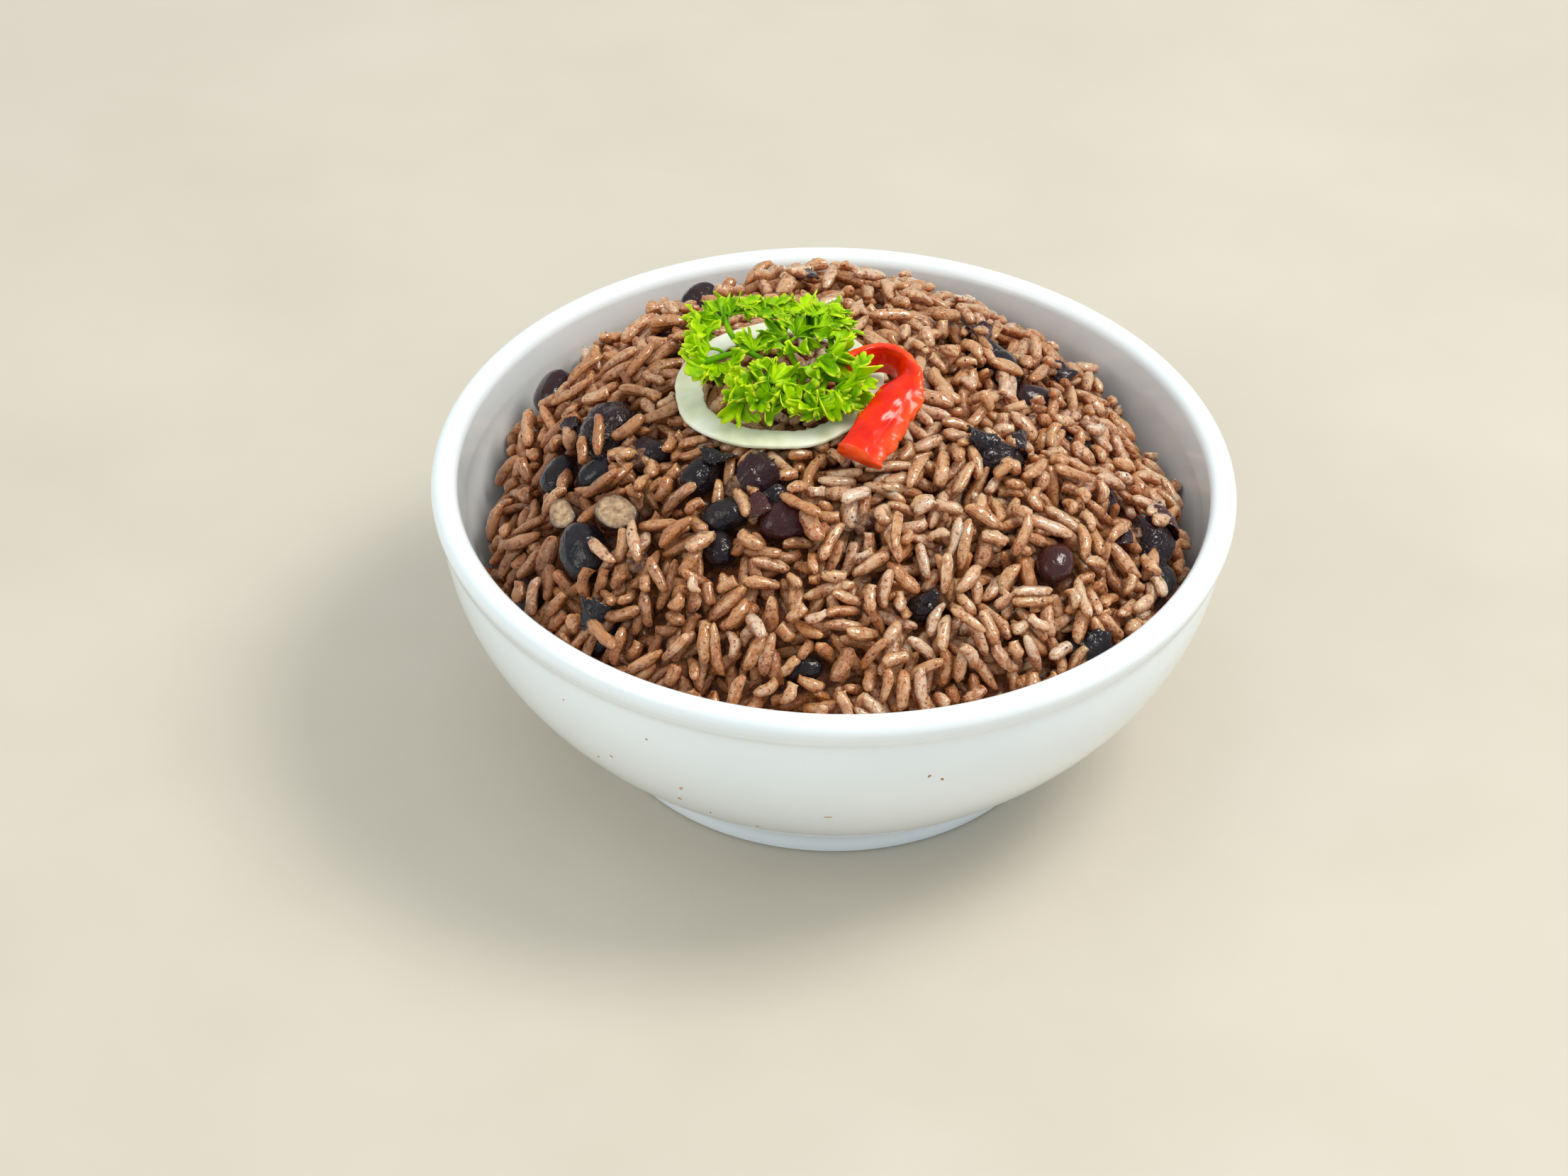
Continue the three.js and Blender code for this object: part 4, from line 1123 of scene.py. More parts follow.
def grain_forms(name, grains, source):
    """The points of each grain about its middle: mm along it, across it and up from it."""
    count, rows, sides = len(grains), len(GRAIN_ROWS), GRAIN_SIDES
    s, angles = np.meshgrid(GRAIN_ROWS, TURN * np.arange(sides) / sides, indexing="ij")
    burst, chopped = name == "rice_burst", name == "rice_broken"
    width, flat, length = (
        np.array([grain[key] for grain in grains])[:, None, None] for key in ("width", "flat", "length")
    )

    def each(low, high):
        return source.uniform(low, high, (count, 1, 1))

    def closing():
        pointed = source.random((count, 1, 1)) < GRAIN["pointed_share"]
        return np.where(pointed, each(*GRAIN["pointed"]), each(*GRAIN["blunt"]))

    girth = (1 - np.abs(s) ** np.where(s < 0, closing(), closing())) ** each(*GRAIN["fullness"])
    if chopped:
        girth = np.where(s > 0.5, np.maximum(girth, each(*GRAIN["chopped_girth"])), girth)
    # sides are flattened a little, and no two alike
    shape = 1 + each(*GRAIN["four_sided"]) * np.cos(4 * angles)
    shape = shape + each(*GRAIN["oval"]) * np.cos(2 * angles + each(0, ANY_PHASE))
    shape = shape + each(*GRAIN["three_sided"]) * np.cos(3 * angles + 2 * s + each(0, ANY_PHASE))
    shape = shape + each(*GRAIN["waisted"]) * np.cos(each(2, 6) * s + each(0, ANY_PHASE))
    girth = girth * (shape + RICE[name]["uneven"] * source.uniform(-1, 1, (count, rows, sides)))
    if burst:
        split = np.cos(angles - each(*GRAIN["split"])) > 0.8
        girth = girth * np.where(split & (np.abs(s) > 0.2), GRAIN["split_girth"], 1.0)
    sway = GRAIN["sway"] * np.sin(each(2, 4) * s + each(0, ANY_PHASE))
    across = girth * np.cos(angles) * width / 2 + each(*GRAIN["bow_across"]) * (1 - s ** 2) + sway
    up = girth * np.sin(angles) * width * flat / 2 + each(*GRAIN["bow_up"]) * (1 - s ** 2)
    reach = s * length / 2 + RICE[name]["frayed"] * source.uniform(-1, 1, (count, rows, sides))
    rings = np.stack([reach, across, up], -1).reshape(count, rows * sides, 3)
    shift = GRAIN["tip_shift"]
    tips = np.stack([
        np.concatenate([-length[:, 0], length[:, 0]], 1) / 2,
        source.uniform(-shift, shift, (count, 2)), source.uniform(-shift, shift, (count, 2)),
    ], -1)
    if chopped:
        tips[:, 1, 0] *= source.uniform(*GRAIN["chopped_length"], count)
    return np.concatenate([rings, tips], 1)


def grain_uv(grains, quads, fans, source):
    """The surface in mm along and round each grain, at the corners of its faces."""
    rows, sides = len(GRAIN_ROWS), GRAIN_SIDES
    width, length = (np.array([grain[key] for grain in grains])[:, None] for key in ("width", "length"))
    u = GRAIN_PLACES[None, :] * length / 2
    u = u + source.uniform(0, PATTERN_SHIFT, (len(grains), 1))
    turns = np.concatenate([np.tile(np.arange(sides), rows), [0, 0]])
    v = turns[None, :] / sides * (math.pi * width)
    shift = source.uniform(0, PATTERN_SHIFT, (len(grains), 1, 1))

    def corner_values(faces):
        # the last face round a grain runs on over the seam, not back to its start
        closing = (turns[faces] == 0) & (turns[faces].max(1, keepdims=True) == sides - 1)
        seam = closing[None] * (math.pi * width)[:, :, None]
        return np.stack([u[:, faces], v[:, faces] + seam + shift], -1).reshape(-1, 2)

    return np.concatenate([corner_values(quads), corner_values(fans)])


def grain_normals():
    """Which way each point of a grain faces: along it, across it and up from it."""
    s, angles = np.meshgrid(GRAIN_ROWS, TURN * np.arange(GRAIN_SIDES) / GRAIN_SIDES, indexing="ij")
    rings = np.stack([0.7 * s ** 3, np.cos(angles), np.sin(angles)], -1).reshape(-1, 3)
    normals = np.concatenate([rings, [(-1, 0, 0), (1, 0, 0)]])
    return normals / np.linalg.norm(normals, axis=1, keepdims=True)


def grain_looks(points, middles, axes, heap, source):
    """The rice material's numbers for each point of each grain."""
    look = RICE_LOOK
    tone = source.normal(look["tone"], look["tone_spread"], len(points))
    clumps = 0.5 * ripple(middles[:, :2], 16.0, SEED + 11) + 0.5 * ripple(middles[:, :2], 8.0, SEED + 12)
    soaked = sum(
        strength * np.exp(-((middles[:, 0] - x) ** 2 + (middles[:, 1] - y) ** 2) / radius ** 2)
        for x, y, radius, strength in SOAKED
    )
    tone = tone + (look["tone_by_clumps"] * clumps - look["tone_by_broth"] * soaked)
    # painted shade: the heap is browner on its left, away from the key light, than on its right
    tone = np.clip(tone[:, None] + look["painted_shade_by_x"] * points[:, :, 0], 0, 1)
    # painted shade: the film grows on each grain's underside and on grains that lie deep, where shade
    # falls; the rest of it is dried broth
    facing_up = (grain_normals()[None] @ axes)[:, :, 2]
    under = heap.lid()[heap.cells(points[:, :, 0], points[:, :, 1])] - points[:, :, 2]
    depth = np.clip((under - look["depth_start"]) / look["depth_range"], 0, 1)
    ends = np.abs(GRAIN_PLACES) ** 4
    film = look["painted_shade_under"] * (1 - facing_up) ** 1.3 + look["painted_shade_deep"] * depth
    film = film + look["film_ends"] * ends + look["film"]
    film = np.clip(film + (soaked - look["film_by_clumps"] * clumps)[:, None], 0, 1)
    # broth stain where broth has gathered, darker on deeper grains as painted shade
    broth = look["broth"] * np.maximum(soaked, 0)[:, None] * (look["broth_on_top"] + depth)
    shown = under < look["shown_depth"]
    return dict(tone=tone, film=film, depth=depth, broth=np.clip(broth, 0, 1), shown=shown)


def rice_mesh(name, grains, heap):
    """All grains of one kind as one mesh."""
    source = random_from(name)
    forms = grain_forms(name, grains, source)
    axes = np.array([grain_axes(grain) for grain in grains])
    middles = np.array([grain["middle"] for grain in grains])
    points = middles[:, None, :] + forms @ axes
    quads, fans = tube_faces(len(GRAIN_ROWS), GRAIN_SIDES)
    uv = grain_uv(grains, quads, fans, source)
    looks = grain_looks(points, middles, axes, heap, source)
    faces = for_each(quads, points), for_each(fans, points)
    return build_mesh(name, points.reshape(-1, 3), *faces, uv, **looks)


def core_mesh():
    """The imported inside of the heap, which follows the bowl and lies under the loose grains."""
    columns, rows, body = 240, 64, 6
    bearings = TURN * np.arange(columns) / columns
    shares = np.linspace(1, 0, rows, endpoint=False)
    crown = np.array([mound_point(np.full(columns, share), bearings) for share in shares])
    rim = edge_level(bearings) - CORE_RIM_DEPTH
    crown[..., :2] *= ((inside_radius(rim) - HEAP["wall_gap"]) / mound_reach(bearings))[:, None]
    flat = crown.reshape(-1, 3)
    lumps = 0.5 * ripple(flat[:, :2], 5.0, SEED + 1) + 0.35 * ripple(flat[:, :2], 2.2, SEED + 2)
    sunk = (MUSH_DEPTH + lumps) * np.repeat(shares < 1, columns)
    crown[..., 2] -= (sunk + CORE_RIM_DEPTH * np.repeat(shares == 1, columns)).reshape(rows, columns)
    corner = inner_wall(np.zeros(1))[0]
    bottom = corner[1] + CLEARANCE
    rings = []
    for i in range(body, 0, -1):
        height = rim + (bottom - rim) * i / body
        reach = inside_radius(height) - HEAP["wall_gap"] if i < body else corner[0] - HEAP["floor_gap"]
        rings.append(np.stack([reach * np.cos(bearings), reach * np.sin(bearings), height], -1))
    surface = np.concatenate([np.array(rings), crown])
    ends = [(0, 0, bottom), (HEAP["lean"], 0, crown[-1, :, 2].mean())]
    points = np.vstack([surface.reshape(-1, 3), ends])
    return build_mesh("heap_core", points, *tube_faces(len(surface), columns))


# ---------------------------------------------------------------------------
# Beans
# ---------------------------------------------------------------------------

BEAN = dict(length=9.2, width=7.0, height=5.9)

# beans that show: bearing in degrees, distance from the axis, turn in degrees, size, how wrinkled
# they are, tone from blue-black (0) to maroon (1), tilt in degrees, and how far they stand out
BEANS = [
    (151, 58, 60, 1.0, 0.15, 0.62, 12, 2.5), (180, 40, 60, 1.32, 1.4, 0.58, 0, 3.0),
    (182, 49, 80, 1.0, 0.3, 0.28, -10, 1.0), (192, 43, 10, 0.85, 0.2, 0.10, 0, 0.4),
    (119, 51, 70, 0.9, 0.3, 0.55, 25, 2.6), (212, 51, 95, 1.2, 0.35, 0.12, 10, 1.9),
    (255, 32, 20, 1.0, 0.3, 0.8, 0, 1.5), (240, 40, 100, 0.75, 0.4, 0.3, 0, -0.7),
    (226, 58, 50, 0.9, 0.6, 0.15, 0, -0.9), (205, 60, 130, 0.8, 0.5, 0.3, 0, -0.6),
    (43, 38, 140, 0.9, 0.6, 0.5, 0, 0.5), (35, 37, 100, 0.9, 0.3, 0.3, 8, 1.0),
    (22, 39, 10, 1.0, 0.3, 0.6, 0, 0.5), (340, 30, 25, 0.95, 1.0, 0.4, 0, 0.8),
    (321, 49, 60, 0.85, 0.2, 0.85, 0, 0.8), (290, 47, 170, 0.6, 0.8, 0.3, 0, -1.6),
    (346, 57, 110, 1.1, 1.0, 0.42, 15, 2.2), (340, 61, 60, 0.95, 0.7, 0.25, 0, 0.2),
    (316, 61, 30, 0.8, 0.6, 0.3, 0, -1.6), (353, 49, 90, 0.8, 0.4, 0.4, 0, -1.3),
    (12, 45, 0, 0.9, 0.3, 0.5, 0, -1.1),
    # half-hidden ones, on the far side too
    (75, 52, 20, 0.95, 0.2, 0.5, 10, -1.0), (100, 56, 120, 0.9, 0.5, 0.4, 0, 0.3),
    (60, 47, 80, 1.0, 0.3, 0.2, 0, -0.6), (135, 48, 10, 0.9, 0.6, 0.6, 0, -1.0),
    (265, 55, 20, 0.7, 0.4, 0.3, 0, -1.5), (218, 30, 60, 0.9, 0.6, 0.3, 0, 0.3),
    (237, 34, 20, 0.85, 0.5, 0.2, 0, 0.4), (247, 26.5, 100, 0.8, 0.5, 0.3, 0, 0.0),
    (196, 34, 130, 0.8, 0.6, 0.35, 0, -0.2), (170, 48, 40, 0.75, 0.5, 0.5, 0, -0.3),
]
BEAN_DROPS = (0.0, 0.5, 1.0, 1.5, 2.0, 3.0)  # a bean sinks by the first of these that clears the bowl
BEAN_ON_TOP = 0.3  # no grains lie over beans that stand out at least this far

# split beans: bearing, distance, turn, size, and degrees by which the cut face leans to the viewer
SPLIT_BEANS = [(213, 44, 150, 0.88, 32), (201, 49.5, 110, 0.66, 38)]


def bean_form(ball, size, wrinkled, number):
    """A kidney-shaped bean with its belly towards -Y, in mm about its middle."""
    x, y, z = ball.T
    plump = np.stack([np.sign(x) * np.abs(x) ** 0.92, y, z], 1)
    form = plump * np.array([BEAN["length"], BEAN["width"], BEAN["height"]]) * size / 2
    belly = np.exp(-(x / 0.5) ** 2) * np.exp(-(z / 0.8) ** 2) * (y < 0) * np.abs(y)
    form[:, 1] += 0.12 * size * belly
    form[:, 1] -= 0.3 * size * x ** 2
    creases = np.abs(ripple(form, 4.2, number)) + 0.5 * np.abs(ripple(form, 2.0, number + 50))
    ridges = 0.55 - np.exp(-creases * 2.6)
    dent = (0.06 + wrinkled * 0.6) * ridges + (0.12 + 0.25 * wrinkled) * ripple(form, 6.5, number + 99)
    return form + ball * dent[:, None]


def tilted(axes, degrees):
    """Turns a frame about its second axis."""
    c, s = math.cos(math.radians(degrees)), math.sin(math.radians(degrees))
    along, across, up = axes.T
    return np.stack([along * c + up * s, across, up * c - along * s], 1)


def beans_mesh(heap):
    """Whole beans, which lie in the heap before its grains."""
    ball, triangles = ball_arrays(4)
    beans = []
    for number, (bearing, distance, turn, size, wrinkled, _, tilt, standing) in enumerate(BEANS):
        x, y = from_bearing(bearing, distance)
        axes = tilted(resting_frame(x, y, math.radians(turn)), tilt)
        lift = standing - BEAN["height"] * size / 2
        for drop in BEAN_DROPS:
            middle = np.array([x, y, mound_height(x, y)]) + axes[:, 2] * (lift - drop)
            placed = bean_form(ball, size, wrinkled, number) @ axes.T + middle
            if inside_bowl(placed, 0.1):
                break
        heap.stamp(placed)
        if standing >= BEAN_ON_TOP:
            heap.keep_free(x, y, BEAN["width"] * size * (0.24 + 0.13 * min(standing, 2.5)))
        beans.append(placed)
    wrinkled, tone = (np.repeat([bean[k] for bean in BEANS], len(ball)) for k in (4, 5))
    faces = for_each(triangles, beans)
    return build_mesh("black_beans", np.vstack(beans), (), faces, tone=tone, wrinkled=wrinkled)


def split_beans_mesh(heap):
    """Half beans with their mealy cut face up: the back in skin, the face a little domed."""
    ball, triangles = ball_arrays(4)
    halves, tips = [], []
    for number, (bearing, distance, turn, size, lean) in enumerate(SPLIT_BEANS):
        x, y = from_bearing(bearing, distance)
        axes = resting_frame(x, y, math.radians(turn))
        towards = np.array([0, -math.sin(math.radians(lean)), math.cos(math.radians(lean))])
        up = axes[:, 2] + towards
        up /= np.linalg.norm(up)
        along = axes[:, 0] - up * (axes[:, 0] @ up)
        along /= np.linalg.norm(along)
        axes = np.stack([along, np.cross(up, along), up], 1)
        form = bean_form(ball, size, 0.15, number + 40)
        level = 0.9 * size
        rim = np.hypot(form[:, 0] / (BEAN["length"] / 2), form[:, 1] / (BEAN["width"] / 2))
        rim = np.clip(rim / size, 0, 1)
        cut = form[:, 2] > level
        domed = level + 0.5 * (1 - rim ** 3) + 0.14 * ripple(form[:, :2], 1.6, number)
        form[cut, 2] = np.minimum(domed, form[:, 2])[cut]
        middle = np.array([x, y, mound_height(x, y)]) + up * 0.35
        placed = form @ axes.T + middle
        heap.stamp(placed)
        heap.keep_free(x, y, BEAN["width"] * size * 0.5)
        halves.append(placed)
        tips.append(np.where(cut, rim * 0.86, 1.0))
    faces = for_each(triangles, halves)
    return build_mesh("split_beans", np.vstack(halves), (), faces, tip=np.concatenate(tips))


SKIN_THICKNESS = 0.2
SKIN_WRINKLED = 0.6

# curled bean skins: x, y, height over the grain tops, heading, tilt, roll in degrees,
# length, radius of the curl in mm, how far round it goes in degrees, and tone
SKINS = [
    (-13.0, -23.0, 0.9, 20, 15, 35, 7.0, 2.9, 170, 0.65),
    (-13.2, -29.5, 0.6, 80, 10, -40, 4.8, 2.0, 170, 0.9),
    (25.4, 27.5, 0.6, 60, 20, 25, 5.0, 2.2, 180, 0.85),
    (24.8, -10.5, 1.2, 10, -10, 10, 6.0, 2.6, 200, 0.3),
    (31.6, -8.2, 0.6, 100, 5, 40, 5.0, 2.2, 150, 0.45),
    (15.8, -43.5, 0.2, 30, 10, -30, 3.4, 1.5, 140, 0.3),
    (57.0, -10.5, 2.2, 110, -15, 40, 7.0, 3.0, 150, 0.95),
    (44.5, -43.0, 0.5, 40, 5, 30, 5.5, 2.2, 140, 0.2),
    (49.2, -20.8, 0.4, 70, 15, -45, 4.4, 1.8, 140, 0.6),
    (-20.0, -17.5, 0.2, 150, 0, 30, 6.0, 2.6, 150, 0.3),
    (-46.0, 6.0, 0.3, 120, 10, -30, 4.0, 1.8, 150, 0.6),
    (-40.0, -41.0, 0.8, 45, 10, 30, 6.0, 2.5, 150, 0.2),
    (40.0, 30.0, 0.5, 0, 5, 20, 5.0, 2.2, 150, 0.5),
    (-6.0, 44.0, 0.4, 75, 5, -20, 5.0, 2.2, 150, 0.4),
]


def skins_mesh():
    """Torn bean skins: thin ragged sheets that curl like part of a tube."""
    source = random_from("skins")
    rows, columns = 15, 17
    u = np.linspace(-1, 1, rows)[:, None]
    v = np.linspace(-1, 1, columns)[None, :]
    sheets = []
    for number, (x, y, lift, heading, tilt, roll, length, radius, sweep, _) in enumerate(SKINS):
        # a square grid drawn into a torn round outline
        torn = 1 + 0.09 * source.uniform(-1, 1, (rows, columns)) * np.maximum(np.abs(u), np.abs(v)) ** 6
        angle = v * np.sqrt(1 - u ** 2 / 2) * torn * math.radians(sweep) / 2
        curl = radius * (1 + 0.25 * np.cos(1.5 * u + number))
        reach = u * np.sqrt(1 - v ** 2 / 2) * torn * length / 2
        sheet = np.stack([reach, curl * np.sin(angle), curl * (np.cos(angle) - 0.6)], -1).reshape(-1, 3)
        dents = 0.22 * ripple(sheet, 2.6, number + 7) + 0.1 * ripple(sheet, 1.1, number + 8)
        sheet += dents[:, None]
        along, across, up = tilted(resting_frame(x, y, math.radians(heading)), tilt).T
        axes = np.stack([along, *rolled(across, up, math.radians(roll))], 1)
        sheets.append(sheet @ axes.T + np.array([x, y, mound_height(x, y) + lift]))
    points = np.vstack(sheets)
    tone = np.repeat([skin[-1] for skin in SKINS], rows * columns)
    wrinkled = np.full(len(points), SKIN_WRINKLED)
    faces = for_each(grid_faces(rows, columns), sheets)
    return build_mesh("thin_skins", points, faces, tone=tone, wrinkled=wrinkled)


# lumps of crushed bean: x, y, length, width
MASH = [
    (3.5, -29.5, 8.0, 5.0), (-16.5, -23.0, 6.0, 4.0), (-24.0, -18.0, 7.0, 4.5), (-34.0, -10.0, 6.0, 4.0),
    (52.0, -15.0, 5.0, 4.0), (24.0, 30.0, 5.0, 4.0), (-33.0, -33.0, 6.0, 4.0), (-30.0, 20.0, 6.0, 4.0),
]
MASH_HEIGHT = 2.6
MASH_SUNK = 1.9  # the middles of the lumps lie this far under the grains' tops


def mash_mesh():
    """Lumps of crushed bean, which show between the grains."""
    ball, triangles = ball_arrays(4)
    lumps = []
    for number, (x, y, length, width) in enumerate(MASH):
        form = ball * np.array([length, width, MASH_HEIGHT]) / 2
        dents = 0.45 * ripple(form, 2.6, number + 20) + 0.2 * ripple(form, 1.1, number + 30)
        form = form + ball * dents[:, None]
        axes = resting_frame(x, y, number * 1.9)
        lumps.append(form @ axes.T + np.array([x, y, mound_height(x, y) - MASH_SUNK]))
    return build_mesh("bean_mash", np.vstack(lumps), (), for_each(triangles, lumps))


# ---------------------------------------------------------------------------
# The onion ring
# ---------------------------------------------------------------------------

ONION = dict(
    centre=(-10.0, 1.6), radius=18.9, oval=0.95, band_width=4.4, band_swing=0.6, widest_bearing=150,
    # waves of its outline: how many, how high and where they start, in radians
    waves=((5, 0.18, 1.0), (9, 0.12, 0.0)),
    thickness=1.2, corner=3.2, fibres=46, segments=360, section=36,
)


def onion_mesh():
    """One thin slice of an onion layer, which lies on the grains."""
    count, section = ONION["segments"], ONION["section"]
    angle = (TURN * np.arange(count) / count)[:, None]
    turn = (TURN * np.arange(section) / section)[None, :]
    outer = ONION["radius"] + sum(h * np.sin(n * angle + phase) for n, h, phase in ONION["waves"])
    swing = ONION["band_swing"] * np.cos(angle - math.radians(ONION["widest_bearing"]))
    width = ONION["band_width"] + swing
    around = np.concatenate([np.cos(angle), np.sin(angle)], 1) * 40
    ragged = 0.10 * ripple(around, 6.0, SEED + 3)[:, None] + 0.05 * ripple(around, 1.7, SEED + 4)[:, None]
    # a rounded bar, seen in section
    power = 2 / ONION["corner"]
    side = np.sign(np.cos(turn)) * np.abs(np.cos(turn)) ** power
    rise = np.sign(np.sin(turn)) * np.abs(np.sin(turn)) ** power
    fibre = 0.5 + 0.5 * np.cos(ONION["fibres"] * angle + 2.0 * ripple(around, 30.0, SEED + 5)[:, None])
    radius = outer - width / 2 + side * width / 2 + np.where(side < 0, 1.0, 0.35) * ragged
    x = ONION["centre"][0] + radius * np.cos(angle) * ONION["oval"]
    y = ONION["centre"][1] + radius * np.sin(angle)
    dish = 0.12 * (1 - side ** 2) * (rise > 0)
    thick = ONION["thickness"] * (0.5 + rise * (0.46 + 0.03 * fibre)) - dish
    z = mound_height(x, y) + CLEARANCE + thick
    points = np.stack([x, y, z], -1).reshape(-1, 3)
    shown_fibre = (fibre * np.clip(1.2 - np.abs(side), 0, 1)).ravel()
    faces = grid_faces(count, section, wrap_rows=True, wrap_columns=True)
    return outward(build_mesh("onion_slice", points, faces, fibre=shown_fibre))


# ---------------------------------------------------------------------------
# The pepper strip
# ---------------------------------------------------------------------------

PEPPER = dict(
    width=5.4, thickness=3.2, bend_thickness=1.7, bulge=0.8, steps=220, end_cap=0.15,
    # it rolls from one angle to another, in degrees, between two shares of its length
    start_roll=6, bend_roll=-88, twist=(0.36, 0.74),
    spine=[
        (3.0, -22.0, 72.7), (6.4, -14.8, 73.7), (9.6, -8.6, 74.8), (11.6, -3.6, 75.1),
        (11.0, 0.6, 75.2), (7.8, 2.6, 75.2), (4.4, 1.6, 75.2), (1.4, -1.2, 75.2),
    ],
    # the section in halves of the width and the thickness, with sharp skin edges above
    section=[
        (-1, -0.6), (-1, 0.0), (-1, 0.6), (-0.97, 0.8), (-0.85, 0.9), (-0.5, 1.12), (0, 1.2), (0.5, 1.12),
        (0.85, 0.9), (0.97, 0.8), (1, 0.6), (1, 0.0), (1, -0.6), (0.9, -0.92), (0.7, -1), (0, -1),
        (-0.7, -1), (-0.9, -0.92),
    ],
)


def pepper_mesh():
    """A strip that stands on edge round its bend and twists to lie nearly flat at its cut end."""
    centre, t = smooth_path(PEPPER["spine"], PEPPER["steps"])
    along = np.gradient(centre, axis=0)
    along /= np.linalg.norm(along, axis=1, keepdims=True)
    twist_start, twist_end = PEPPER["twist"]
    turned = np.clip((t - twist_start) / (twist_end - twist_start), 0, 1)
    turned = turned * turned * (3 - 2 * turned)
    roll = PEPPER["start_roll"] + (PEPPER["bend_roll"] - PEPPER["start_roll"]) * turned
    roll = np.radians(roll)[:, None]
    up = np.array([0, 0, 1.0]) - along * along[:, 2:]
    up /= np.linalg.norm(up, axis=1, keepdims=True)
    side = np.cross(along, up)
    across = -side * np.cos(roll) + up * np.sin(roll)
    inner = up * np.cos(roll) + side * np.sin(roll)
    thinner = (PEPPER["bend_thickness"] - PEPPER["thickness"]) * turned
    half_depth = (PEPPER["thickness"] + thinner)[:, None] / 2
    corners = np.array(PEPPER["section"])
    fine = np.array([
        corners[i] + (corners[(i + 1) % len(corners)] - corners[i]) * part
        for i in range(len(corners)) for part in (0, 1 / 3, 2 / 3)
    ])
    a, b = fine[None, :, 0], fine[None, :, 1]
    # the cut side bulges where the strip lies flat
    a = a - PEPPER["bulge"] * np.clip(0.8 - b, 0, 1) * np.clip(-a, 0, 1) * (1 - turned)[:, None]
    points = (centre[:, None] + across[:, None] * (a * (PEPPER["width"] / 2))[..., None]
              + inner[:, None] * (b * half_depth)[..., None])
    flesh = np.clip((0.8 - b) * 1.6, 0, 1) * np.ones_like(t)[:, None]
    lumps = 0.3 * ripple(points, 2.2, SEED + 7) + 0.5 * ripple(points, 5.0, SEED + 8)
    shift = np.clip(np.abs(a) * 1.2 - 0.2, 0, 1) * flesh * lumps * (1 - 0.7 * turned)[:, None]
    dents = 0.10 * ripple(points, 3.0, SEED + 9) * (b > 0.9)
    points += across[:, None] * (np.sign(a) * shift)[..., None] + inner[:, None] * dents[..., None]
    ends = [
        points[0].mean(0) - PEPPER["end_cap"] * along[0],
        points[-1].mean(0) + PEPPER["end_cap"] * along[-1],
    ]
    cut = flesh.copy()
    cut[0] = cut[-1] = 1.0
    cut = np.concatenate([cut.ravel(), [1, 1]])
    everything = np.vstack([points.reshape(-1, 3), ends])
    return outward(build_mesh("pepper_ribbon", everything, *tube_faces(*points.shape[:2]), cut=cut))


# ---------------------------------------------------------------------------
# The parsley sprig
# ---------------------------------------------------------------------------

PARSLEY = dict(
    stem_radius=0.55, twig_radius=0.3, leaf_thickness=0.2, columns=120, rows=8, spread=92,
    lobes=6, teeth=4, cut=0.30, tooth=0.10, ruffle=0.27,
    # leaflets ease towards these limits: over the mound, and as a height
    lowest_over_mound=1.9, lowest_ease=0.8, highest=80.9, highest_ease=1.6,
    # paths of the stems; leaf stalks run from their nearest corner to each leaflet
    stems=[
        [
            (-2, -3.5, 75.0), (-6.5, -2.8, 75.6), (-10.7, -1.6, 76.2),
            (-15.2, 1.0, 76.9), (-18.4, 5.2, 77.6), (-19.6, 9.5, 78.4),
        ],
        [(-15.2, 1.0, 76.9), (-19.0, 0.0, 76.8), (-22.6, -1.6, 76.4)],
        [(-2, -3.5, 75.0), (-1.2, 0.8, 76.6), (-1.4, 4.6, 78.0), (-3.2, 8.2, 78.8)],
        [(-6.5, -2.8, 75.6), (-8.6, 2.2, 77.2), (-9.6, 6.6, 78.6)],
        [(-6.5, -2.8, 75.6), (-9.2, -7.6, 75.2), (-13.6, -9.6, 74.8)],
        [(-2, -3.5, 75.0), (-2.8, -9.0, 74.8)], [(-2, -3.5, 75.0), (2.2, -5.0, 75.6)],
    ],
    # leaflets: the middle of each, its heading in degrees and its length
    leaflets=[
        (-24.0, 8.4, 77.0, 150, 5.8), (-24.4, 2.8, 76.8, 185, 5.8), (-23.0, -2.6, 76.0, 215, 6.0),
        (-20.6, 10.2, 78.4, 115, 6.0), (-17.2, 11.0, 79.0, 70, 5.8), (-19.4, -3.8, 76.0, 285, 6.2),
        (-12.2, 11.0, 79.4, 100, 6.0),
        (-8.6, 10.0, 79.4, 70, 6.0), (-4.2, 10.8, 79.6, 95, 6.2), (-0.6, 9.2, 79.4, 45, 6.0),
        (-6.4, 6.0, 79.2, 75, 5.6), (-11.0, 4.4, 78.6, 160, 5.4), (-2.0, 5.8, 79.2, 10, 5.6),
        (0.8, 5.6, 78.6, 15, 5.8), (0.6, -0.6, 77.4, -30, 6.0),
        (3.8, -7.2, 76.0, -40, 6.2), (1.4, -9.0, 75.8, -70, 6.0),
        (-2.6, -3.4, 77.8, -80, 6.0), (-16.6, -7.4, 75.6, 165, 5.8),
        (-17.4, -10.8, 75.0, 215, 5.8), (-13.6, -11.8, 74.8, 262, 5.8), (-12.6, -7.0, 76.4, 120, 5.4),
        (-9.6, -11.0, 75.0, 272, 6.0), (-6.0, -9.2, 75.8, 290, 6.0), (-3.6, -12.4, 74.6, 275, 6.2),
        (-0.4, -12.0, 74.8, 305, 6.0), (-9.6, -5.6, 76.8, 40, 5.0),
        (-8.4, 0.4, 77.6, 200, 5.0), (-14.4, 2.8, 77.6, 90, 4.2),
    ],
)


